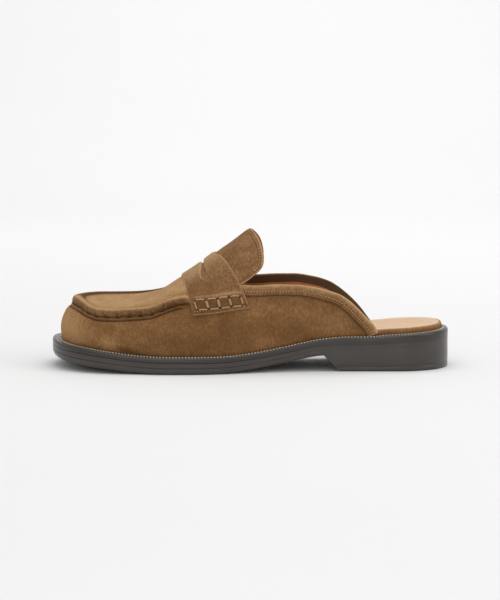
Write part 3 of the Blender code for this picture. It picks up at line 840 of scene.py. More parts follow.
def mesh_piece(
    name: str,
    points: Array,
    faces: Array | list[tuple[int, ...]] | list[list[int]],
    tone: Array | None = None,
    sharp: float = 40.0,
) -> bpy.types.Object:
    """Makes a closed piece whose faces point out.

    Args:
        name: name of the piece.
        points: rows of x, y and z.
        faces: rows of point numbers; a number that repeats in a row is dropped.
        tone: a lighter or darker tone for each point.
        sharp: faces that meet at more than this angle, in degrees, have a hard edge.

    Returns:
        The piece.
    """
    mesh = bpy.data.meshes.new(name)
    corners = [tuple(dict.fromkeys(face)) for face in np.asarray(faces).tolist()]
    mesh.from_pydata(points.tolist(), [], corners)
    if tone is not None:
        layer = mesh.attributes.new("tone", "FLOAT", "POINT")
        layer.data.foreach_set("value", np.asarray(tone, np.float32).ravel())
    shape = bmesh.new()
    shape.from_mesh(mesh)
    bmesh.ops.delete(shape, geom=[v for v in shape.verts if not v.link_faces], context="VERTS")
    bmesh.ops.recalc_face_normals(shape, faces=shape.faces)
    shape.to_mesh(mesh)
    shape.free()
    mesh.shade_smooth()
    mesh.set_sharp_from_angle(angle=math.radians(sharp))
    obj = bpy.data.objects.new(name, mesh)
    bpy.context.scene.collection.objects.link(obj)
    return obj


def sheet_piece(
    name: str,
    outside: Array,
    inside: Array,
    tone: Array | None = None,
    keep: Array | None = None,
    joined: Array | None = None,
) -> bpy.types.Object:
    """Makes the closed piece between two sheets of points.

    Args:
        name: name of the piece.
        outside: points of the outer sheet, as columns of rows.
        inside: points of the inner sheet, in the same order.
        tone: a tone for each point.
        keep: which faces of the sheet are kept; all if left out.
        joined: a number for each column; columns of one number end in one point, -1 in their own.

    Returns:
        The piece.
    """
    columns, rows = outside.shape[:2]
    count = columns * rows
    index = np.arange(count).reshape(columns, rows)
    if joined is not None:
        for key in np.unique(joined[joined >= 0]):
            same = np.flatnonzero(joined == key)
            index[same, -1] = index[same[0], -1]
    quads = np.stack([index[:-1, :-1], index[1:, :-1], index[1:, 1:], index[:-1, 1:]], axis=-1)
    quads = quads.reshape(-1, 4) if keep is None else quads[keep]
    edges = np.concatenate([quads[:, [k, (k + 1) % 4]] for k in range(4)])
    edges = edges[edges[:, 0] != edges[:, 1]]
    there, back = edges[:, 0] * count + edges[:, 1], edges[:, 1] * count + edges[:, 0]
    rim = edges[~np.isin(there, back)]
    sides = np.column_stack([rim[:, 1], rim[:, 0], rim[:, 0] + count, rim[:, 1] + count])
    faces = np.concatenate([quads, quads[:, ::-1] + count, sides])
    points = np.concatenate([outside.reshape(-1, 3), inside.reshape(-1, 3)])
    both = None if tone is None else np.tile(np.asarray(tone, float).ravel(), 2)
    return mesh_piece(name, points, faces, both)


def ring_piece(
    name: str, rings: list[Array], tones: list[float], closed: bool = False
) -> bpy.types.Object:
    """Makes a slab through rings of points, or a hoop where its section is closed.

    Args:
        name: name of the piece.
        rings: rings of points, all with one count.
        tones: a tone for each ring.
        closed: whether the last ring joins the first, instead of both being capped.

    Returns:
        The piece.
    """
    count = len(rings[0])
    around = np.arange(count)
    after = (around + 1) % count
    pairs = list(zip(range(len(rings) - 1), range(1, len(rings))))
    if closed:
        pairs.append((len(rings) - 1, 0))
    parts = []
    for low, high in pairs:
        a, b = low * count, high * count
        parts.append(np.column_stack([around + a, after + a, after + b, around + b]))
    if not closed:
        half = count // 2
        near, far = np.arange(half), (count - np.arange(half)) % count
        for start in (0, (len(rings) - 1) * count):
            strip = np.column_stack([near, near + 1, (count - near - 1) % count, far]) + start
            parts.append(strip)
    return mesh_piece(name, np.concatenate(rings), np.concatenate(parts), np.repeat(tones, count))


# How thick the first and the second ring of a thread's end are
THREAD_END = (0.35, 0.85)
# A direction that no thread runs along
ASIDE = (0.13, 0.21, 0.97)


def tube_piece(
    name: str, paths: list[Array], radius: float, closed: bool, sides: int = 7
) -> bpy.types.Object:
    """Makes round threads along paths, all as one piece.

    Args:
        name: name of the piece.
        paths: each thread's points.
        radius: half its thickness.
        closed: whether each thread runs back to its start.
        sides: sides of its section.

    Returns:
        The piece.
    """
    points, faces, start = [], [], 0
    angle = np.linspace(0, 2 * math.pi, sides, endpoint=False)
    for path in paths:
        count = len(path)
        if closed:
            ahead = np.roll(path, -1, axis=0) - np.roll(path, 1, axis=0)
        else:
            ahead = np.gradient(path, axis=0)
        ahead /= np.linalg.norm(ahead, axis=1)[:, None]
        side = np.cross(ahead, ASIDE)
        side /= np.linalg.norm(side, axis=1)[:, None]
        other = np.cross(ahead, side)
        thick = np.full(count, radius)
        if not closed:
            thick[[0, -1]] *= THREAD_END[0]
            thick[[1, -2]] *= THREAD_END[1]
        ring = np.cos(angle)[None, :, None] * side[:, None]
        ring = ring + np.sin(angle)[None, :, None] * other[:, None]
        points.append((path[:, None] + thick[:, None, None] * ring).reshape(-1, 3))
        for i in range(count if closed else count - 1):
            a, b = start + i * sides, start + ((i + 1) % count) * sides
            for k in range(sides):
                after = (k + 1) % sides
                faces.append((a + k, a + after, b + after, b + k))
        if not closed:
            for cap in (start, start + (count - 1) * sides):
                faces += [(cap, cap + k, cap + k + 1, cap) for k in range(1, sides - 1)]
        start += count * sides
    return mesh_piece(name, np.concatenate(points), faces, sharp=80.0)


def paced(path: Array, out: Array, pitch: float) -> tuple[Array, Array]:
    """Points at an even pitch along a path.

    Args:
        path: points of the path.
        out: the way out of the surface at each.
        pitch: the distance between two.

    Returns:
        The points, and the way out at each.
    """
    length = np.concatenate([[0], np.cumsum(np.linalg.norm(np.diff(path, axis=0), axis=1))])
    even = np.linspace(0, length[-1], max(int(round(length[-1] / pitch)), 2) + 1)
    spot = np.stack([np.interp(even, length, path[:, k]) for k in range(3)], axis=1)
    way = np.stack([np.interp(even, length, out[:, k]) for k in range(3)], axis=1)
    return spot, way / np.linalg.norm(way, axis=1)[:, None]


@dataclass(frozen=True)
class Stitching:
    """A row of stitches: short threads that dip into the surface at both ends."""

    pitch: float
    radius: float
    lift: float
    fill: float = 0.72

    def row(self, path: Array, out: Array) -> list[Array]:
        """Threads of one row.

        Args:
            path: points of the row on the surface.
            out: the way out of the surface at each.

        Returns:
            The points of each thread.
        """
        spot, way = paced(path, out, self.pitch)
        turns = np.linspace(0, 1, 6)
        threads = []
        for a, b, n in zip(spot, spot[1:], way):
            middle, half = (a + b) / 2, (b - a) / 2 * self.fill
            arch = self.lift * np.sin(math.pi * turns)[:, None] - 0.4 * self.radius
            threads.append(middle + (2 * turns - 1)[:, None] * half + arch * n)
        return threads


def holes_piece(
    name: str, spots: Array, ways: Array, radius: float, lift: float = 0.00006
) -> bpy.types.Object:
    """Needle holes as small low discs on a surface, all as one piece; their dark finish is painted
    shade.

    Args:
        name: name of the piece.
        spots: where they are.
        ways: the way out of the surface at each.
        radius: how wide they are.
        lift: how far they stand up.

    Returns:
        The piece.
    """
    sides = 8
    aside = (0.3, 0.1, 0.95)
    angle = np.linspace(0, 2 * math.pi, sides, endpoint=False)
    points, faces = [], []
    for n, (spot, way) in enumerate(zip(spots, ways)):
        side = np.cross(way, aside)
        side /= np.linalg.norm(side)
        other = np.cross(way, side)
        ring = spot + radius * (np.cos(angle)[:, None] * side + np.sin(angle)[:, None] * other)
        tip, root = (spot + way * lift * 1.5)[None], (spot - way * radius)[None]
        points += [ring - way * radius, ring + way * lift, tip, root]
        a = n * (2 * sides + 2)
        for k in range(sides):
            b = (k + 1) % sides
            faces.append((a + k, a + b, a + sides + b, a + sides + k))
            faces.append((a + sides + k, a + sides + b, a + 2 * sides, a + 2 * sides))
            faces.append((a + b, a + k, a + 2 * sides + 1, a + 2 * sides + 1))
    return mesh_piece(name, np.concatenate(points), faces, sharp=80.0)


# Sub-assemblies


@dataclass
class Sole:
    """Outsole, heel and welt, with the welt's channel and its stitches."""

    steps: int = 180
    tread_round: float = 0.0026
    seam_bevel: float = 0.00035
    welt_bevel: float = 0.0012
    groove: float = 0.00035
    toe_extra: float = 0.55
    toe_reach: float = 0.16
    heel_steps: int = 70
    channel_inset: float = 0.0015
    channel_depth: float = 0.0005
    stitch: Stitching = Stitching(0.0023, 0.00046, 0.00060, 0.50)

    LOWER = (
        # share of the rounding inward, share upward, tone (painted highlight on the rounded lower
        # edge)
        (1.0, 0.0, 0.0),
        (0.62, 0.05, 0.0),
        (0.30, 0.22, 0.05),
        (0.08, 0.55, 0.12),
        (0.0, 1.0, 0.1),
    )
    SIDES = (
        # share of the side's height, share of the groove's depth, tone (painted shade in the fine
        # groove)
        (0.53, 0.0, 0.06),
        (0.555, 0.7, -0.25),
        (0.58, 0.0, 0.0),
        (0.72, -0.2, 0.02),
        (0.86, 0.0, 0.0),
    )
    HEEL = (
        # share of the height, inset, tone (lighter low down, with painted highlight on the rounded
        # foot and painted shade in the cut line)
        (0.0, 0.0011, 0.1),
        (0.03, 0.0004, 0.1),
        (0.07, 0.0, 0.08),
        (0.23, 0.0, 0.05),
        (0.245, 0.00012, -0.12),
        (0.26, 0.0, 0.05),
        (0.6, -0.0001, 0.0),
        (1.0, 0.0, 0.0),
    )
    BEVEL = (
        # share of the bevel inward, share downward, tone (painted highlight on the bevel, painted
        # shade in the dip behind it)
        (0.0, 1.0, 0.05),
        (0.12, 0.62, 0.25),
        (0.38, 0.25, 0.30),
        (0.75, 0.05, 0.1),
        (1.0, 0.16, -0.3),
        (1.25, 0.0, 0.0),
    )
    CHANNEL = (
        # distance from its middle, share of its depth, tone (painted shade in the channel)
        (-0.0007, 0.0, 0.0),
        (-0.0003, 1.0, -0.5),
        (0.0003, 1.0, -0.5),
        (0.0007, 0.0, 0.0),
    )

    def ring(
        self, depth: Callable[[Array], Array] | float, height: Callable[[Array], Array]
    ) -> Array:
        """One ring round the sole: the toe, the outer side, the heel, the inner side.

        Args:
            depth: how far in from the outline, one value or a function of the share of the length.
            height: height as a function of x.

        Returns:
            The points of the ring.
        """
        outer = np.linspace(OUTLINE.toe_at, 0, self.steps + 1)
        shares = np.interp(outer, OUTLINE.at, OUTLINE.shares)
        along = np.concatenate([shares, shares[-2:0:-1]])
        there = OUTLINE.at_share(Side.OUTER, shares)
        back = OUTLINE.at_share(Side.INNER, shares[-2:0:-1])
        inward = depth(along) if callable(depth) else depth
        flat = OUTLINE.inset(np.concatenate([there, back]), inward)
        return np.column_stack([flat, height(flat[:, 0])])

    def rounding(self, share: Array) -> Array:
        """Size of the lower edge's rounding: largest at the toe, none at the seat."""
        toe = 1 + self.toe_extra * (1 - ease(0.0, self.toe_reach, share))
        return self.tread_round * PROFILE.round(share) * (1 - ease(0.655, 0.70, share)) * toe

    def seam_cut(self, share: Array) -> Array:
        """Depth of the line between welt and outsole, which closes towards the heel."""
        return self.seam_bevel * (1 - 0.85 * ease(0.60, 0.72, share))

    def outsole(self) -> bpy.types.Object:
        """Outsole with a rounded lower edge and a fine line cut round its fore part."""

        def lower(inward: float, rise: float) -> Array:
            """A ring of the rounded lower edge."""
            return self.ring(
                lambda share: inward * self.rounding(share),
                lambda x: PROFILE.underside(x) + rise * self.rounding(SIZES.share(x)),
            )

        def side(rise: float, deep: float) -> Array:
            """A ring of the side."""
            return self.ring(
                lambda share: self.groove * deep * (1 - ease(0.55, 0.70, share)),
                lambda x: (1 - rise) * PROFILE.underside(x) + rise * PROFILE.welt_seam(x),
            )

        rings = [lower(*row[:2]) for row in self.LOWER] + [side(*row[:2]) for row in self.SIDES]
        rings += [
            self.ring(0.0, lambda x: PROFILE.welt_seam(x) - self.seam_bevel),
            self.ring(self.seam_cut, PROFILE.welt_seam),
            self.ring(SIZES.welt_width, PROFILE.welt_seam),
            self.ring(SIZES.welt_width, PROFILE.welt_top),
        ]
        # Painted shade in the cut line between welt and outsole.
        tones = [row[2] for row in self.LOWER + self.SIDES] + [0.0, -0.2, -0.2, -0.2]
        return dress(ring_piece("outsole_edge", rings, tones), SOLE, "outsole")

    def heel(self) -> bpy.types.Object:
        """Heel block under the seat, with a slanted breast."""
        spread = 1 - (1 - np.linspace(0, 1, self.heel_steps + 1)) ** 1.6
        rings = []
        for height, depth, _ in self.HEEL:
            front = SIZES.breast_foot + (SIZES.breast_top - SIZES.breast_foot) * height
            shares = front + (1 - front) * spread
            inner = OUTLINE.at_share(Side.INNER, shares[::-1])
            outer = OUTLINE.at_share(Side.OUTER, shares[:-1])
            flat = OUTLINE.inset(np.concatenate([inner, outer]), depth)
            rings.append(np.column_stack([flat, height * PROFILE.underside(flat[:, 0])]))
        tones = [row[2] for row in self.HEEL]
        return dress(ring_piece("heel_block", rings, tones), SOLE, "heel")

    def channel(self, share: Array) -> Array:
        """Inset of the stitched channel, close to the upper and behind it to the footbed."""
        upper, insole = curve(INSETS, 1)(share), curve(INSETS, 2)(share)
        behind = ease(0.80, 0.85, share)
        return SIZES.feather * ((1 - behind) * upper + behind * insole) - self.channel_inset

    def welt(self) -> bpy.types.Object:
        """Welt with a bevelled edge, a fine line by it and a channel for the stitches."""
        top, seam = PROFILE.welt_top, PROFILE.welt_seam

        def bevel(inward: float, drop: float) -> Array:
            """A ring of the bevelled edge."""
            return self.ring(inward * self.welt_bevel, lambda x: top(x) - drop * self.welt_bevel)

        def across(away: float, drop: float) -> Array:
            """A ring of the top at a distance from the channel."""
            return self.ring(
                lambda share: self.channel(share) + away,
                lambda x: top(x) - drop * self.channel_depth,
            )

        rings = [
            self.ring(self.seam_cut, seam),
            self.ring(0.0, lambda x: seam(x) + self.seam_bevel),
            self.ring(-0.00008, lambda x: (seam(x) + top(x)) / 2),
            *(bevel(*row[:2]) for row in self.BEVEL),
            *(across(*row[:2]) for row in self.CHANNEL),
            self.ring(SIZES.welt_width, top),
            self.ring(SIZES.welt_width, seam),
        ]
        # Painted shade in the cut line between welt and outsole.
        tones = [-0.2, 0.0, 0.0] + [row[2] for row in self.BEVEL + self.CHANNEL] + [0.0, 0.0]
        return dress(ring_piece("welt_strip", rings, tones, closed=True), WELT, "welt")

    def stitches(self) -> bpy.types.Object:
        """Pale stitches in the welt's channel."""
        path = self.ring(self.channel, lambda x: PROFILE.welt_top(x) - 0.1 * self.channel_depth)
        path = np.concatenate([path, path[:1]])
        out = np.tile((0.0, 0.0, 1.0), (len(path), 1))
        threads = self.stitch.row(path, out)
        sewn = tube_piece("welt_stitches", threads, self.stitch.radius, False, 6)
        return dress(sewn, THREAD_PALE)

    def build(self) -> list[bpy.types.Object]:
        """All the pieces of the sole."""
        return [self.outsole(), self.heel(), self.welt(), self.stitches()]


@dataclass
class Footbed:
    """Sock leather on the insole, with a suede edge wrapped round it."""

    sole: Sole
    thick: float = 0.0042
    gap: float = 0.0003
    fold: float = 0.0013
    swell: float = 0.0002

    DISH = (
        # inset, share of the thickness, tone (painted shade where the sock meets the edge)
        (0.0015, 0.3, -0.4),
        (0.0015, 0.93, -0.35),
        (0.0018, 1.0, 0.0),
        (0.0024, 1.02, 0.05),
        (0.0060, 1.0, 0.0),
        (0.0100, 0.86, 0.0),
        (0.0150, 0.70, 0.0),
        (0.0210, 0.62, 0.0),
    )

    def ring(self, extra: float, rise: float) -> Array:
        """A ring inset from the footbed's edge, at a height above the welt.

        Args:
            extra: how far inside the edge.
            rise: how far above the gap over the welt.

        Returns:
            The points of the ring.
        """
        inset = curve(INSETS, 2)
        return self.sole.ring(
            lambda share: SIZES.feather * inset(share) + extra,
            lambda x: PROFILE.welt_top(x) + self.gap + rise,
        )

    def edge(self) -> bpy.types.Object:
        """The wrapped edge: it swells a little and turns over onto the top."""
        thick, fold = self.thick, self.fold
        section = (
            # inset, rise, tone (painted shade at its foot and on its inner side, painted highlight
            # where it turns over)
            (0.0, 0.0, -0.25),
            (-self.swell, 0.25 * thick, -0.1),
            (-self.swell, 0.55 * thick, 0.0),
            (0.05 * fold, 0.78 * thick, 0.1),
            (0.25 * fold, 0.92 * thick, 0.3),
            (0.6 * fold, 0.99 * thick, 0.35),
            (fold, thick, 0.2),
            (1.5 * fold, 0.96 * thick, -0.2),
            (1.8 * fold, 0.80 * thick, -0.4),
            (1.8 * fold, 0.0, -0.4),
        )
        rings = [self.ring(*row[:2]) for row in section]
        tones = [row[2] for row in section]
        return dress(ring_piece("footbed_edge", rings, tones, closed=True), SUEDE_EDGE, "insole")

    def sock(self) -> bpy.types.Object:
        """The sock: flat at its edge and dished a little for the heel."""
        rings = [self.ring(inset, rise * self.thick) for inset, rise, _ in self.DISH]
        tones = [row[2] for row in self.DISH]
        return dress(ring_piece("sock", rings, tones), SOCK)

    def build(self) -> list[bpy.types.Object]:
        """Both pieces of the footbed."""
        return [self.edge(), self.sock()]


class Seam:
    """The moccasin seam round the plug, with its stitches at an even pitch."""

    PITCH = 0.0082
    KNOTS = 420

    def __init__(self, last: Last) -> None:
        """Works out where the seam lies on the last.

        Args:
            last: the form.
        """
        self.last = last
        rear = [last.at_place(side, SIZES.place(SEAM[-1][0])) for side in Side]
        self.at = np.linspace(rear[0], rear[1], self.KNOTS)
        share = last.share(self.at)
        fan = [float(last.at_place(side, SIZES.place(SIZES.fan_point))) for side in Side]
        inner = ease(fan[0], fan[1], self.at)
        height = (1 - inner) * curve(SEAM, 1)(share) + inner * curve(SEAM, 2)(share)
        self.ups = last.up_at_height(self.at, SIZES.quarter_height * height)
        path = last.point(self.at, self.ups)
        step = np.linalg.norm(np.diff(path, axis=0), axis=1)
        self.arc = np.concatenate([[0], np.cumsum(step)])

    def up(self, at: Array) -> Array:
        """How far up its column the seam lies."""
        return np.interp(at, self.at, self.ups)

    def above(self, at: Array, up: Array) -> Array:
        """Distance up a column from the seam, less than 0 below it."""
        return (up - self.up(at)) * self.last.length(at)

    def pinch(self, at: Array, width: float) -> Array:
        """1 at each stitch of the seam and 0 between two."""
        arc = np.interp(at, self.at, self.arc)
        away = np.abs(np.mod(arc + self.PITCH / 2, self.PITCH) - self.PITCH / 2)
        return np.exp(-((away / width) ** 2))

    def spots(self, front: float) -> Array:
        """Places along the feather line of the stitches ahead of a share of the length."""
        arcs = np.arange(self.PITCH, self.arc[-1], self.PITCH)
        at = np.interp(arcs, self.arc, self.at)
        return at[self.last.share(at) < front]


def columns(last: Last, quarter: int, vamp: int, fan: int, rear: float) -> tuple[Array, Array]:
    """Columns from the outer side's rear end round the toe to the inner side's.

    Args:
        last: the form.
        quarter: how many stand behind the throat on each side.
        vamp: how many on each side end on the ridge.
        fan: how many turn round the toe.
        rear: share of the length where those that end on the ridge begin.

    Returns:
        The columns' places, and the number of the ridge point that each ends in, or -1.
    """
    sides, keys = {}, {}
    for side in Side:
        behind = np.linspace(COLLAR_ENDS[side], rear, quarter + 1)[:-1]
        front = np.linspace(rear, SIZES.fan_point, vamp)
        sides[side] = last.at_place(side, SIZES.place(np.concatenate([behind, front])))
        keys[side] = np.concatenate([np.full(len(behind), -1), np.arange(vamp - 1, -1, -1)])
    middle = np.linspace(sides[Side.OUTER][-1], sides[Side.INNER][-1], fan + 1)[1:-1]
    at = np.concatenate([sides[Side.OUTER], middle, sides[Side.INNER][::-1]])
    joined = np.concatenate([keys[Side.OUTER], np.zeros(len(middle), int), keys[Side.INNER][::-1]])
    return at, joined


def collar_height(side: Side, share: Array) -> Array:
    """Height of the collar line."""
    return SIZES.quarter_height * curve(COLLAR, 1 if side is Side.OUTER else 2)(share)


@dataclass(frozen=True)
class Patch:
    """A soft patch on the suede, lighter or darker, or a soft dent or swell, on one side; a dent's
    darker tone is painted shade and a swell's lighter tone painted highlight.
    """

    side: Side
    x: float
    z: float
    wide: float
    tall: float
    tone: float
    depth: float = 0.0
    lean: float = 0.0

    def weight(self, points: Array) -> Array:
        """1 at the middle of the patch, fading to 0 round it."""
        along = points[..., 0] - self.x
        rise = points[..., 2] - self.z - self.lean * along
        near = np.clip(points[..., 1] * self.side.value / 0.01, 0, 1)
        return near * np.exp(-((along / self.wide) ** 2) - (rise / self.tall) ** 2)


# Patches that dent are darker, as painted shade, and patches that swell are lighter, as painted
# highlight; the rest are lighter or darker patches of the suede.
VAMP_PATCHES = (
    # side, x, z, width, height, tone, depth, lean
    Patch(Side.OUTER, -0.100, 0.021, 0.008, 0.005, 0.28, -0.0003, -0.25),
    Patch(Side.OUTER, -0.087, 0.016, 0.010, 0.0022, -0.30, 0.0006, -0.28),
    Patch(Side.OUTER, -0.128, 0.030, 0.012, 0.013, 0.22),
    Patch(Side.OUTER, -0.060, 0.024, 0.016, 0.012, -0.08, 0.0003),
    Patch(Side.OUTER, -0.030, 0.022, 0.014, 0.008, -0.12, 0.0004, 0.2),
    Patch(Side.OUTER, -0.020, 0.034, 0.004, 0.016, -0.10, 0.0005),
    Patch(Side.OUTER, 0.020, 0.045, 0.020, 0.006, 0.14),
    Patch(Side.OUTER, 0.030, 0.028, 0.030, 0.007, -0.06, 0.0003, -0.1),
    Patch(Side.OUTER, 0.062, 0.036, 0.012, 0.008, 0.10),
    Patch(Side.INNER, -0.095, 0.024, 0.014, 0.007, 0.18, -0.0003, -0.2),
    Patch(Side.INNER, -0.060, 0.026, 0.018, 0.008, -0.12, 0.0005, 0.15),
    Patch(Side.INNER, 0.010, 0.034, 0.026, 0.010, 0.10),
    Patch(Side.INNER, 0.045, 0.030, 0.020, 0.006, -0.10, 0.0004, -0.15),
)


@dataclass
class Upper:
    """Vamp and quarters of suede, lined with leather."""

    last: Last
    seam: Seam
    quarter: int = 100
    vamp: int = 100
    fan: int = 110
    lining: float = 0.0007
    toe_reach: float = 0.030

    # Distance below the seam, and width, of each form under it, and of the painted highlight on the
    # lip; the groove also carries painted shade
    LIP = (0.0009, 0.0007)
    LIP_HIGHLIGHT = (0.0007, 0.0005)
    GROOVE = (0.0025, 0.0008)
    SWELL = (0.0060, 0.0028)
    # Rows of a column, and the shares of them that reach the seam's two sides
    ROWS = 72
    SPREAD = (0, 0.42, 0.82, 1)

    def rows(self, at: Array, end: Array, near: float = 0.0045) -> Array:
        """Shares of each column, close together by the moccasin seam.

        Args:
            at: places of the columns.
            end: where each ends.
            near: how far from the seam they stand close.

        Returns:
            One row of shares for each column.
        """
        seam = np.minimum(self.seam.up(at), 0.72 * end)
        margin = np.minimum(near / self.last.length(at), 0.2 * end)
        knots = np.stack([np.zeros(len(at)), seam - margin, seam + margin, end], axis=1)
        spread = np.interp(np.linspace(0, 1, self.ROWS), self.SPREAD, range(4))
        part = np.minimum(spread.astype(int), 2)
        return knots[:, part] + (spread - part) * (knots[:, part + 1] - knots[:, part])

    def ends(self, at: Array, joined: Array) -> Array:
        """Where each column ends: on the ridge, or on the collar behind the throat.

        Args:
            at: places of the columns.
            joined: the number of each one's ridge point, or -1 behind the throat.

        Returns:
            The shares of the columns.
        """
        end = np.ones(len(at))
        outer = at < self.last.at[self.last.toe_column]
        for side in Side:
            here = (joined < 0) & (outer == (side is Side.OUTER))
            share = self.last.share(at[here])
            end[here] = self.last.up_at_height(at[here], collar_height(side, share))
        return end

    def shell(self) -> bpy.types.Object:
        """The suede: a lip and a groove under the plug's seam, and soft hollows."""
        at, joined = columns(self.last, self.quarter, self.vamp, self.fan, SIZES.throat)
        ups = self.rows(at, self.ends(at, joined))
        place = np.broadcast_to(at[:, None], ups.shape)
        surface = self.last.point(place, ups)
        below = -self.seam.above(place, ups)
        open_seam = (1 - ease(0.322, 0.345, self.last.share(at)))[:, None]
        pinch = self.seam.pinch(place, 0.0011)
        lip = 0.0010 * hump(below, *self.LIP) * (1 - 0.25 * pinch)
        groove = 0.0007 * hump(below, *self.GROOVE)
        swell = 0.0005 * hump(below, *self.SWELL) * (1 - 0.5 * pinch)
        out = open_seam * (lip - groove + swell)
        # Painted highlight on the lip, painted shade in the groove under it and along the feather
        # line by the welt.
        tone = 0.10 * hump(below, *self.LIP_HIGHLIGHT) - 0.55 * hump(below, *self.GROOVE)
        tone = open_seam * tone - 0.25 * hump(ups * self.last.length(place), 0.0, 0.0016)
        for patch in VAMP_PATCHES:
            weight = patch.weight(surface)
            tone = tone + patch.tone * weight
            out = out - patch.depth * weight
        x, z = surface[..., 0], surface[..., 2]
        out = out + 0.00012 * np.sin(x * 260 + z * 90) * np.sin(z * 210 + 1)
        ahead = self.last.foot_x.min() + self.toe_reach - x
        tone = tone + 0.38 * np.clip(ahead / self.toe_reach, 0, 1) ** 1.3
        outside = self.last.point(place, ups, out)
        inside = self.last.point(place, ups, -SIZES.wall)
        piece = sheet_piece("upper_suede", outside, inside, tone, joined=joined)
        return dress(piece, SUEDE, "upper")

    def inner(self) -> bpy.types.Object:
        """The leather lining, inside the suede."""
        at, joined = columns(self.last, 60, 60, 60, SIZES.throat)
        ups = self.ends(at, joined)[:, None] * np.linspace(0, 0.985, 40)
        place = np.broadcast_to(at[:, None], ups.shape)
        outside = self.last.point(place, ups, -SIZES.wall - 0.0001)
        inside = self.last.point(place, ups, -SIZES.wall - self.lining)
        return dress(sheet_piece("upper_lining", outside, inside), LINING)

    def build(self) -> list[bpy.types.Object]:
        """The suede and its lining."""
        return [self.shell(), self.inner()]


@dataclass
class Plug:
    """Moccasin plug: a dished top with a rolled rim, sewn by hand to the vamp."""

    last: Last
    seam: Seam
    gap: float = 0.0006
    thick: float = 0.0018
    hole: float = 0.0013
    hole_radius: float = 0.00046
    thread: float = 0.00032
    sewn_to: float = 0.288

    # Distances from the seam at which a column has its points, close together over the rim
    NEAR = np.concatenate([np.arange(0, 9.6, 0.32), np.arange(9.8, 14.2, 0.7)]) * 0.001
    # Shares of the length between which the rim flattens to go under the strap
    UNDER_STRAP = (0.340, 0.357)
    RIM = (
        # across in mm, height in mm, tone (painted shade at the rim's foot by the seam, painted
        # highlight on its crest)
        (0.0, 0.7, -0.60),
        (0.3, 1.7, -0.42),
        (0.8, 2.8, -0.34),
        (1.6, 4.0, -0.30),
        (2.6, 4.8, -0.08),
        (3.4, 5.0, 0.16),
        (4.4, 4.9, 0.05),
        (5.3, 4.5, -0.05),
        (6.4, 3.5, -0.04),
        (7.4, 2.6, -0.06),
        (8.4, 2.0, -0.08),
        (9.4, 1.75, -0.04),
        (10.8, 1.85, 0.02),
        (14.0, 1.80, 0.08),
    )

    def inner_share(self, at: Array) -> Array:
        """0 on the outer side, 1 on the inner side, changing round the toe."""
        toe = self.last.at[self.last.toe_column]
        return ease(toe - 0.03, toe + 0.05, at)

    def crease_shade(self, at: Array, across: Array) -> Array:
        """Painted shade in the fold inside the rim: sharp at the toe, wide on the inner side."""
        off = np.abs(at - self.last.at[self.last.toe_column])
        front = 0.50 * hump(across, 0.0082, 0.0011) * (1 - ease(0.015, 0.045, off))
        return front + 0.60 * hump(across, 0.0078, 0.0026) * self.inner_share(at)

    def build(self) -> list[bpy.types.Object]:
        """The plug, its needle holes and its threads."""
        at, joined = columns(self.last, 0, 110, 120, SIZES.plug_end)
        length = self.last.length(at)[:, None]
        rise = self.seam.up(at)[:, None] + self.NEAR / length
        rest = rise[:, -1:] + (1 - rise[:, -1:]) * np.linspace(0, 1, 22)[1:]
        ups = np.concatenate([rise, rest], axis=1)
        place = np.broadcast_to(at[:, None], ups.shape)
        across = self.seam.above(place, ups)
        share = self.last.share(at)[:, None]
        rolled = 1 - ease(*self.UNDER_STRAP, share)
        pinch = self.seam.pinch(place, 0.0010) * (1 - ease(0.26, 0.30, share))
        height = 0.001 * curve(self.RIM, 1)(across * 1000)
        height = height * (1 - 0.30 * self.inner_share(place))
        height = height - 0.00014 * pinch * hump(across, 0.0008, 0.0010)
        thick = self.thick + (height - self.thick) * rolled
        surface = self.last.point(place, ups)
        x, y = surface[..., 0], surface[..., 1]
        wave = np.sin(x * 190 + 1) * np.sin(y * 160 + x * 60)
        thick = thick + 0.00018 * wave * ease(0.009, 0.014, across)
        # Painted shade in the pinch at each stitch and in the fold inside the rim, and under the
        # strap where the rim goes flat.
        fold = 0.10 * pinch * hump(across, 0.0005, 0.0008) + self.crease_shade(place, across)
        tone = (curve(self.RIM, 2)(across * 1000) - fold) * rolled - 0.10 * (1 - rolled)
        outside = self.last.point(place, ups, self.gap + thick)
        inside = self.last.point(place, ups, self.gap)
        piece = sheet_piece("plug_suede", outside, inside, tone, joined=joined)
        return [dress(piece, SUEDE_PLUG, "plug"), *self.sewing()]

    def sewing(self) -> list[bpy.types.Object]:
        """Needle holes at the foot of the rim, each with a thread down to the lip."""
        at = self.seam.spots(self.sewn_to)
        steps = np.linspace(-self.hole, self.hole, 6)
        bow = 0.0004 * (1 - (steps / self.hole) ** 2)
        reach = np.linspace(self.hole * 1.2, self.seam.PITCH - self.hole * 1.2, 8)
        holes, threads = [], []
        for place, length in zip(at, self.last.length(at)):
            along = place + steps / OUTLINE_LENGTH
            up = self.seam.up(along) + 0.0001 / length
            holes.append(self.last.point(along, up, 0.0011 + bow))
            between = place + reach / OUTLINE_LENGTH
            up = self.seam.up(between) - 0.0002 / length
            threads.append(self.last.point(between, up, 0.00095))
        # The needle holes are dark tubes: painted shade.
        dark = dress(tube_piece("plug_holes", holes, self.hole_radius, False), PIT)
        sewn = tube_piece("plug_threads", threads[:-1], self.thread, False)
        return [dress(sewn, THREAD_DARK), dark]


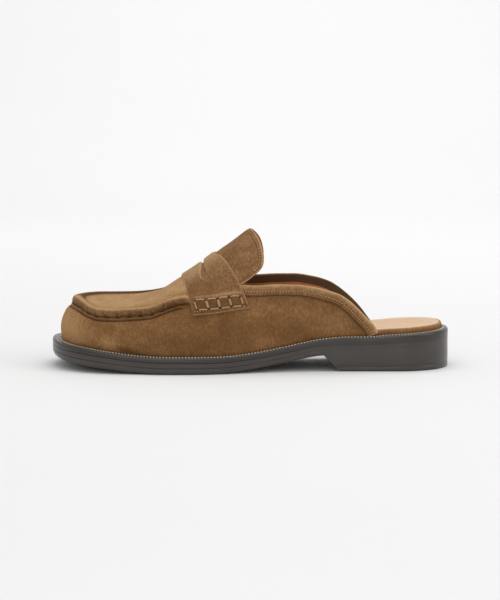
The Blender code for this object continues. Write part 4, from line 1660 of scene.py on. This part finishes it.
@dataclass
class Strap:
    """Penny strap with its slot, its edge stitching and the sewn roll at each end."""

    last: Last
    seam: Seam
    thick: float = 0.0021
    bed: float = 0.0014
    rows: int = 80
    loops: int = 4
    loop_start: float = -0.0380
    loop_end: float = -0.0062
    loop_rise: float = 0.0066
    loop_drop: float = 0.0008
    loop_tall: float = 0.0072
    cord: float = 0.00055
    hole: float = 0.00074
    row: float = 0.0024
    stitch: Stitching = Stitching(0.0021, 0.00030, 0.00028, 0.62)

    SLOT = (
        # up, front share, rear share
        (0.415, 0.4085, 0.4105),
        (0.437, 0.4082, 0.4105),
        (0.450, 0.4020, 0.4085),
        (0.470, 0.3970, 0.4055),
        (0.510, 0.3900, 0.4025),
        (0.548, 0.3857, 0.4000),
        (0.600, 0.3825, 0.3980),
        (0.665, 0.3813, 0.3950),
        (0.720, 0.3815, 0.3925),
        (0.777, 0.3829, 0.3908),
        (0.880, 0.3835, 0.3896),
        (1.000, 0.3838, 0.3890),
    )
    SLOT_END = 0.438
    # Height of one side of the strap, about, for the distance from the slot's end
    SLOT_SCALE = 0.060
    # Points across the strap ahead of the slot, in it, and behind it
    ACROSS = (18, 5, 24)
    # Squareness of a loop, and the turns round it at which its holes lie
    SQUARENESS = 3.6
    CORNERS = (0.8, 2.35, 3.95, 5.5)

    def under(self, at: Array, up: Array) -> Array:
        """Height of what the strap lies on."""
        return SIZES.gap + self.bed * (1 - ease(0.0012, 0.0040, -self.seam.above(at, up)))

    def foot(self, at: Array) -> Array:
        """Share of a column at the strap's lower edge."""
        height = SIZES.quarter_height * curve(STRAP_FOOT, 1)(self.last.share(at))
        return self.last.up_at_height(at, height)

    def spot(
        self, side: Side, x: Array, rise: Array, offset: Array | float
    ) -> tuple[Array, Array]:
        """Points on the strap.

        Args:
            side: the side of the shoe.
            x: places along the shoe.
            rise: distances up from the strap's lower edge.
            offset: how far above the strap's face.

        Returns:
            The points, and the way out at each.
        """
        at = self.last.at_place(side, x)
        up = self.foot(at) + rise / self.last.length(at)
        face = self.under(at, up) + self.thick + offset
        return self.last.point(at, up, face), self.last.facing(at, up)

    def loop_middle(self, x: Array) -> Array:
        """Rise of the middle of the sewn roll, a little lower towards the heel."""
        along = np.clip((x - self.loop_start) / (self.loop_end - self.loop_start), 0, 1)
        return self.loop_rise - self.loop_drop * along

    def band(self) -> bpy.types.Object:
        """The suede band, with rounded edges and the slot left open."""
        half = np.linspace(0, 1, self.rows)
        foot_rows, slot_rows = (0.0, 0.006, 0.014, 0.025, 0.04), np.linspace(0.42, 0.50, 18)
        half = np.unique(np.concatenate([foot_rows, half[4:], slot_rows]))
        strips = [0.5 - 0.5 * np.cos(np.linspace(0, math.pi, n)) for n in self.ACROSS]
        front, rear = curve(STRAP_EDGE, 1), curve(STRAP_EDGE, 2)
        slot_front, slot_rear = curve(self.SLOT, 1)(half), curve(self.SLOT, 2)(half)
        edges = [front(half), slot_front, slot_rear, rear(half)]
        shares = [edges[0][:, None]]
        for strip, a, b in zip(strips, edges, edges[1:]):
            shares.append(a[:, None] + strip[1:] * (b - a)[:, None])
        share = np.concatenate(shares, axis=1)
        first = self.ACROSS[0] - 1
        final = first + self.ACROSS[1] - 1
        grids = []
        for side in Side:
            at = self.last.at_place(side, SIZES.place(share))
            table = np.linspace(at.min(), at.max(), 60)
            foot = np.interp(at, table, self.foot(table))
            up = foot + half[:, None] * (1 - foot)
            length = self.last.length(at)
            rise = (up - foot) * length
            ahead, behind = share - front(half)[:, None], rear(half)[:, None] - share
            side_gap = np.minimum(ahead, behind) * SIZES.length
            before, after = slot_front[:, None] - share, share - slot_rear[:, None]
            slot_gap = np.maximum(np.maximum(before, after) * SIZES.length, 0)
            below = np.maximum(self.SLOT_END - half, 0)[:, None] * self.SLOT_SCALE
            near = np.minimum(np.minimum(side_gap, rise), np.hypot(slot_gap, below))
            rounding = 0.0009 * (1 - np.sqrt(np.clip(near / 0.0011, 0, 1)))
            press = 0.00035 * hump(rise, self.row, 0.0012)
            x = SIZES.place(share)
            inside = ease(self.loop_start - 0.002, self.loop_start + 0.001, x)
            inside = inside * (1 - ease(self.loop_end - 0.001, self.loop_end + 0.002, x))
            middle = self.loop_middle(x)
            roll = hump(rise, middle, self.loop_tall * 0.62) * inside
            ridge = hump(rise, middle + self.loop_tall * 0.80, 0.0014) * inside
            bed = self.under(at, up)
            out = bed + self.thick - rounding - press + 0.0007 * roll + 0.0005 * ridge
            # Lighter edges and a darker roll; painted highlight on the ridge above the roll,
            # painted light over the top of the strap and painted shade in the pressed stitch line.
            tone = 0.30 * hump(near, 0.0, 0.0005) - 0.12 * roll + 0.24 * ridge
            tone = tone + 0.34 * ease(0.40, 0.95, half)[:, None]
            tone = tone - 0.25 * hump(rise, self.row, 0.0008)
            grids.append((self.last.point(at, up, out), self.last.point(at, up, bed), tone))
        joined = [np.concatenate([a, b[-2::-1]]) for a, b in zip(grids[0], grids[1])]
        rows, cols = joined[2].shape
        keep = np.ones((rows - 1, cols - 1), bool)
        level = (half[:-1] + half[1:]) / 2
        open_rows = np.concatenate([level, level[::-1]]) > self.SLOT_END
        keep[open_rows, first:final] = False
        piece = sheet_piece("strap_suede", joined[0], joined[1], joined[2], keep=keep)
        return dress(piece, SUEDE_STRAP, "strap")

    def roll(self) -> list[bpy.types.Object]:
        """Linked square loops of thick thread at each end, with the holes that they enter."""
        pitch = (self.loop_end - self.loop_start) / self.loops
        turn = np.linspace(0, 2 * math.pi, 40, endpoint=False)
        square = 2 / self.SQUARENESS
        wide = np.sign(np.cos(turn)) * np.abs(np.cos(turn)) ** square
        tall = np.sign(np.sin(turn)) * np.abs(np.sin(turn)) ** square
        corner = np.abs(np.sin(2 * turn)) ** 4
        paths, spots, ways = [], [], []
        for side in Side:
            for n in range(self.loops):
                centre = self.loop_start + (n + 0.5) * pitch
                x = centre + 0.54 * pitch * wide - 0.12 * self.loop_tall * tall
                rise = self.loop_middle(x) + 0.5 * self.loop_tall * tall
                path, _ = self.spot(side, x, rise, 0.0010 - 0.0019 * corner)
                paths.append(path)
                holes = [np.argmin(np.abs(turn - angle)) for angle in self.CORNERS]
                spot, way = self.spot(side, x[holes], rise[holes], 0.00072)
                spots.append(spot)
                ways.append(way)
        loops = dress(tube_piece("roll_loops", paths, self.cord, True, 8), THREAD_BROWN)
        # The holes are dark discs: painted shade.
        dark = holes_piece("roll_holes", np.concatenate(spots), np.concatenate(ways), self.hole)
        return [loops, dress(dark, PIT)]

    def stitches(self) -> bpy.types.Object:
        """A row of fine stitches along each lower end."""
        threads = []
        for side in Side:
            x = np.linspace(-0.0405, -0.0035, 60)
            path, out = self.spot(side, x, np.linspace(0.0023, 0.0017, 60), -0.00030)
            threads += self.stitch.row(path, out)
        sewn = tube_piece("strap_stitches", threads, self.stitch.radius, False, 6)
        return dress(sewn, THREAD_TAN)

    def build(self) -> list[bpy.types.Object]:
        """The band, its roll and its stitches."""
        return [self.band(), *self.roll(), self.stitches()]


@dataclass
class Tongue:
    """Tongue: suede outside, leather inside, stitched along its free edge."""

    last: Last
    start: float = 0.368
    lining_start: float = 0.437
    thick: float = 0.0018
    margin: float = 0.0022
    stitch: Stitching = Stitching(0.0023, 0.00024, 0.00025, 0.65)

    def grid(
        self, start: float, halves: Array, steps: Array, inset: float = 0.0
    ) -> tuple[Array, Array]:
        """Places on the form, from one lower edge over the ridge to the other.

        Args:
            start: share of the length where the grid starts.
            halves: shares of the way up each side.
            steps: shares of the way from the start to the free end.
            inset: how far it stays inside the edges.

        Returns:
            Places along the feather line, and shares of the columns there.
        """
        end = curve(TONGUE_END, 1)(halves)[:, None] - inset / SIZES.length
        share = start + steps * (end - start)
        ats, ups = [], []
        for side in Side:
            at = self.last.at_place(side, SIZES.place(share))
            table = np.linspace(at.min(), at.max(), 80)
            height = SIZES.quarter_height * curve(TONGUE_FOOT, 1)(self.last.share(table))
            foot = np.interp(at, table, self.last.up_at_height(table, height))
            foot = foot + inset / self.last.length(at)
            ats.append(at)
            ups.append(foot + halves[:, None] * (1 - foot))
        at = np.concatenate([ats[0], ats[1][-2::-1]])
        return at, np.concatenate([ups[0], ups[1][-2::-1]])

    def build(self) -> list[bpy.types.Object]:
        """The suede, the lining, its edge line and the stitches."""
        halves = np.unique(np.concatenate([np.linspace(0, 1, 64), [0.004, 0.01, 0.02]]))
        steps = np.unique(np.concatenate([np.linspace(0, 1, 56), [0.985, 0.992, 0.997]]))
        at, up = self.grid(self.start, halves, steps)
        both = np.concatenate([halves, halves[-2::-1]])[:, None]
        near = np.minimum((1 - steps) * 0.045 + 0 * both, both * 0.060)
        rounding = 0.0006 * (1 - np.sqrt(np.clip(near / 0.0010, 0, 1)))
        press = 0.00025 * hump(near, self.margin, 0.0009)
        surface = self.last.point(at, up)
        out = SIZES.gap + self.thick - rounding - press
        out = out + 0.00025 * np.sin(surface[..., 0] * 240) * np.sin(surface[..., 1] * 130 + 1)
        # Lighter edges, and painted shade in the pressed stitch line.
        tone = 0.06 + 0.40 * hump(near, 0.0, 0.0007) - 0.12 * hump(near, self.margin, 0.0009)
        under = self.last.point(at, up, SIZES.gap)
        suede = sheet_piece("tongue_suede", self.last.point(at, up, out), under, tone)
        at, up = self.grid(self.lining_start, halves, steps, 0.0001)
        top, under = self.last.point(at, up, SIZES.gap + 0.0001), self.last.point(at, up, -0.0007)
        lining = sheet_piece("tongue_lining", top, under)
        at, up = self.grid(self.lining_start, halves, np.array([1.0]))
        path = self.last.point(at[:, 0], up[:, 0], 0.0003)
        piping = tube_piece("tongue_edge", [path], 0.0005, False, 6)
        at, up = self.grid(self.lining_start, halves, np.array([1.0]), self.margin)
        path = self.last.point(at[:, 0], up[:, 0], SIZES.gap + self.thick - 0.0002)
        threads = self.stitch.row(path, self.last.facing(at[:, 0], up[:, 0]))
        sewn = tube_piece("tongue_stitches", threads, self.stitch.radius, False, 6)
        return [
            dress(suede, SUEDE_STRAP, "tongue"),
            dress(lining, TONGUE_LINING),
            dress(piping, TONGUE_LINING),
            dress(sewn, THREAD_TAN),
        ]


@dataclass
class CollarBand:
    """Binding of one side's collar: it wraps the edge, faced inside, with a stitched row."""

    last: Last
    side: Side
    start: float = 0.4650
    thick: float = 0.0009
    width: float = 0.0080
    facing: float = 0.0058
    row: float = 0.0047
    pinholes: float = 0.0073
    pin_pitch: float = 0.0018
    pin_radius: float = 0.00042
    knots: int = 170
    stitch: Stitching = Stitching(0.0021, 0.00024, 0.00024, 0.66)

    def line(self, depth: float, offset: float, lift: float = 0.0) -> tuple[Array, Array]:
        """A line along the collar.

        Args:
            depth: how far below the collar's edge.
            offset: how far out from the form.
            lift: how far it is moved up past the edge.

        Returns:
            The points, and the way out at each.
        """
        share = np.linspace(self.start, COLLAR_ENDS[self.side] - 0.001, self.knots)
        x, z = SIZES.place(share), collar_height(self.side, share)
        slope = np.gradient(z, x)
        tilt = np.hypot(1, slope)
        at = self.last.at_place(self.side, x + depth * slope / tilt)
        up = np.maximum(self.last.up_at_height(at, z - depth / tilt), 0.004)
        point = self.last.point(at, up, offset)
        if lift:
            point = point + lift * np.stack([-slope / tilt, 0 * x, 1 / tilt], axis=1)
        return point, self.last.facing(at, up)

    def build(self) -> list[bpy.types.Object]:
        """The band, its facing, the stitches and the pinholes."""
        name = self.side.name.lower()
        g, t, w = SIZES.gap, self.thick, SIZES.wall
        section = [
            # depth, offset, lift, tone (painted shade at the lower edge, at the pinholes, in the
            # stitch row and on the inner side, painted highlight along the rolled top edge)
            (self.width, g + 0.1 * t, 0.0, -0.50),
            (self.width - 0.0001, g + 0.6 * t, 0.0, -0.35),
            (self.width - 0.0004, g + 0.9 * t, 0.0, -0.20),
            (self.pinholes, g + t - 0.0001, 0.0, -0.10),
            (0.0061, g + t, 0.0, 0.0),
            (self.row + 0.0004, g + t - 0.0001, 0.0, -0.05),
            (self.row, g + t - 0.0002, 0.0, -0.15),
            (self.row - 0.0004, g + t - 0.0001, 0.0, 0.05),
            (0.0030, g + t + 0.0002, 0.0, 0.12),
            (0.0014, g + t, 0.0, 0.22),
            (0.0004, g + 0.6 * t, 0.0, 0.45),
            (0.0001, g + 0.2 * t, 0.0, 0.55),
            (0.0, -0.5 * w, 0.0002, 0.30),
            (0.0002, -w - 0.0002, 0.0, -0.25),
            (0.0004, -w - 0.0005, 0.0, -0.45),
            (0.0010, -w - 0.0005, 0.0, -0.5),
            (0.0014, -w, 0.0, 0.0),
            (0.0006, -0.5 * w, 0.0, 0.0),
            (0.0014, 0.0, 0.0, 0.0),
        ]
        lines = [self.line(depth, offset, lift)[0] for depth, offset, lift, _ in section]
        band = self.hoop(f"collar_{name}_suede", lines, [row[3] for row in section])
        inner = [
            # depth, offset
            (0.0003, -w - 0.0002),
            (0.0003, -w - 0.0008),
            (self.facing, -w - 0.0009),
            (self.facing, -w - 0.0002),
        ]
        lines = [self.line(*pair)[0] for pair in inner]
        facing = self.hoop(f"collar_{name}_facing", lines, [0.0] * len(lines))
        path, out = self.line(self.row, g + t - 0.0002)
        threads = self.stitch.row(path, out)
        sewn = tube_piece(f"collar_{name}_stitches", threads, self.stitch.radius, False, 6)
        path, out = self.line(self.pinholes, g + t - 0.0001)
        spots, ways = paced(path, out, self.pin_pitch)
        # The pinholes are dark discs: painted shade.
        holes = holes_piece(f"collar_{name}_pinholes", spots, ways, self.pin_radius)
        return [
            dress(band, SUEDE_STRAP, f"collar_band_{name}"),
            dress(facing, FACING),
            dress(sewn, THREAD_TAN),
            dress(holes, HOLE),
        ]

    def hoop(self, name: str, lines: list[Array], tones: list[float]) -> bpy.types.Object:
        """A closed strip of one section along the collar.

        Args:
            name: name of the piece.
            lines: the section's corners, each as a line along the collar.
            tones: a tone for each line.

        Returns:
            The piece.
        """
        count, knots = len(lines), len(lines[0])
        points = np.concatenate(lines)
        faces = []
        along = np.arange(knots - 1)
        for row in range(count):
            a, b = along + row * knots, along + (row + 1) % count * knots
            faces += np.column_stack([a, a + 1, b + 1, b]).tolist()
        faces += [[row * knots + end for row in range(count)] for end in (0, knots - 1)]
        return polygon_piece(name, points, faces, np.repeat(tones, knots))


def polygon_piece(
    name: str, points: Array, faces: list[list[int]], tone: Array
) -> bpy.types.Object:
    """A closed piece whose ends are polygons of many corners, cut into triangles.

    Args:
        name: name of the piece.
        points: rows of x, y and z.
        faces: point numbers of the faces, four for a side and more for an end.
        tone: a tone for each point.

    Returns:
        The piece.
    """
    fans = []
    for end in faces:
        if len(end) > 4:
            fans += [[end[0], end[k], end[k + 1], end[k + 1]] for k in range(1, len(end) - 1)]
    quads = [face for face in faces if len(face) == 4]
    return mesh_piece(name, points, quads + fans, tone)


@dataclass
class Studio:
    """Pale floor that curves up behind, soft lights and the photograph's camera."""

    distance: float = 1.8
    elevation: float = 7.0
    aim: float = 0.0478
    per_pixel: float = 0.0007323
    frame_rows: int = 600
    sensor: float = 36.0
    world: float = 0.60
    half_width: float = 3.5
    front: float = -2.5
    back: float = 1.2
    bend: float = 0.9
    top: float = 3.5

    LIGHTS = (
        # name, place, aim, side, power
        ("top", (0.25, 0.15, 1.9), (0.0, 0.0, 0.0), 1.9, 18.0),
        ("front", (-0.5, -2.0, 1.1), (0.0, 0.0, 0.03), 1.4, 5.8),
        ("back", (0.0, 1.25, 1.2), (0.0, 2.1, 0.25), 1.6, 4.0),
        ("low", (0.05, -1.3, 0.12), (0.03, 0.0, 0.01), 0.7, 0.7),
        ("right", (1.9, -0.7, 0.9), (0.05, 0.0, 0.03), 1.0, 7.0),
    )

    def floor(self) -> None:
        """A floor with a curved back."""
        turns = np.linspace(0.15, math.pi / 2, 12)
        bend = [(self.back + self.bend * math.sin(a), self.bend * (1 - math.cos(a))) for a in turns]
        wall = self.back + self.bend
        section = [(self.front, 0.0), (self.back, 0.0), *bend, (wall, self.top)]
        points = [(x, y, z) for x in (-self.half_width, self.half_width) for y, z in section]
        count = len(section)
        faces = [(k, k + 1, k + 1 + count, k + count) for k in range(count - 1)]
        mesh = bpy.data.meshes.new("floor")
        mesh.from_pydata(points, [], faces)
        mesh.shade_smooth()
        nodes = Nodes("floor_paper")
        grain = nodes.noise(0.4)
        nodes.colours(grain, [(0.0, (0.83, 0.83, 0.83)), (1.0, (0.86, 0.86, 0.858))])
        nodes.set(Roughness=0.9, Specular_IOR_Level=0.1)
        mesh.materials.append(nodes.material)
        floor = bpy.data.objects.new("floor", mesh)
        bpy.context.scene.collection.objects.link(floor)

    def light(self, name: str, place: Triple, aim: Triple, size: float, power: float) -> None:
        """One square soft light.

        Args:
            name: its name.
            place: where it stands.
            aim: what it points at.
            size: its side.
            power: its power in watts.
        """
        lamp = bpy.data.lights.new(name, "AREA")
        lamp.size, lamp.energy = size, power
        obj = bpy.data.objects.new(name, lamp)
        obj.location = place
        way = np.array(aim) - np.array(place)
        tilt = math.atan2(math.hypot(way[0], way[1]), -way[2])
        obj.rotation_euler = (tilt, 0.0, math.atan2(way[1], way[0]) - math.pi / 2)
        bpy.context.scene.collection.objects.link(obj)

    def camera(self) -> None:
        """The camera, with the photograph's view and scale."""
        lens = bpy.data.cameras.new("camera")
        lens.sensor_fit, lens.sensor_height = "VERTICAL", self.sensor
        lens.lens = self.sensor * self.distance / (self.frame_rows * self.per_pixel)
        obj = bpy.data.objects.new("camera", lens)
        tilt = math.radians(self.elevation)
        back, up = self.distance * math.cos(tilt), self.distance * math.sin(tilt)
        obj.location = (0.0, -back, self.aim + up)
        obj.rotation_euler = (math.pi / 2 - tilt, 0.0, 0.0)
        bpy.context.scene.collection.objects.link(obj)
        bpy.context.scene.camera = obj

    def build(self) -> None:
        """Everything round the shoe."""
        self.floor()
        self.camera()
        for row in self.LIGHTS:
            self.light(*row)
        world = bpy.data.worlds.new("world")
        world.use_nodes = True
        sky = world.node_tree.nodes["Background"].inputs
        sky["Color"].default_value = (1.0, 1.0, 1.0, 1)
        sky["Strength"].default_value = self.world
        bpy.context.scene.world = world
        bpy.context.scene.view_settings.view_transform = "Standard"


def main() -> None:
    """Builds the shoe's pieces round the CAD model, then the studio."""
    logging.basicConfig(level=logging.INFO, format="%(name)s: %(message)s")
    seam = Seam(LAST_FORM)
    sole = Sole()
    assemblies = [
        sole,
        Footbed(sole),
        Upper(LAST_FORM, seam),
        Plug(LAST_FORM, seam),
        Tongue(LAST_FORM),
        Strap(LAST_FORM, seam),
        *(CollarBand(LAST_FORM, side) for side in Side),
    ]
    for assembly in assemblies:
        for piece in assembly.build():
            faces = sum(len(face.vertices) - 2 for face in piece.data.polygons)
            log.info("%s: %s, %d triangles", type(assembly).__name__, piece.name, faces)
    Studio().build()


if __name__ == "__main__":
    main()
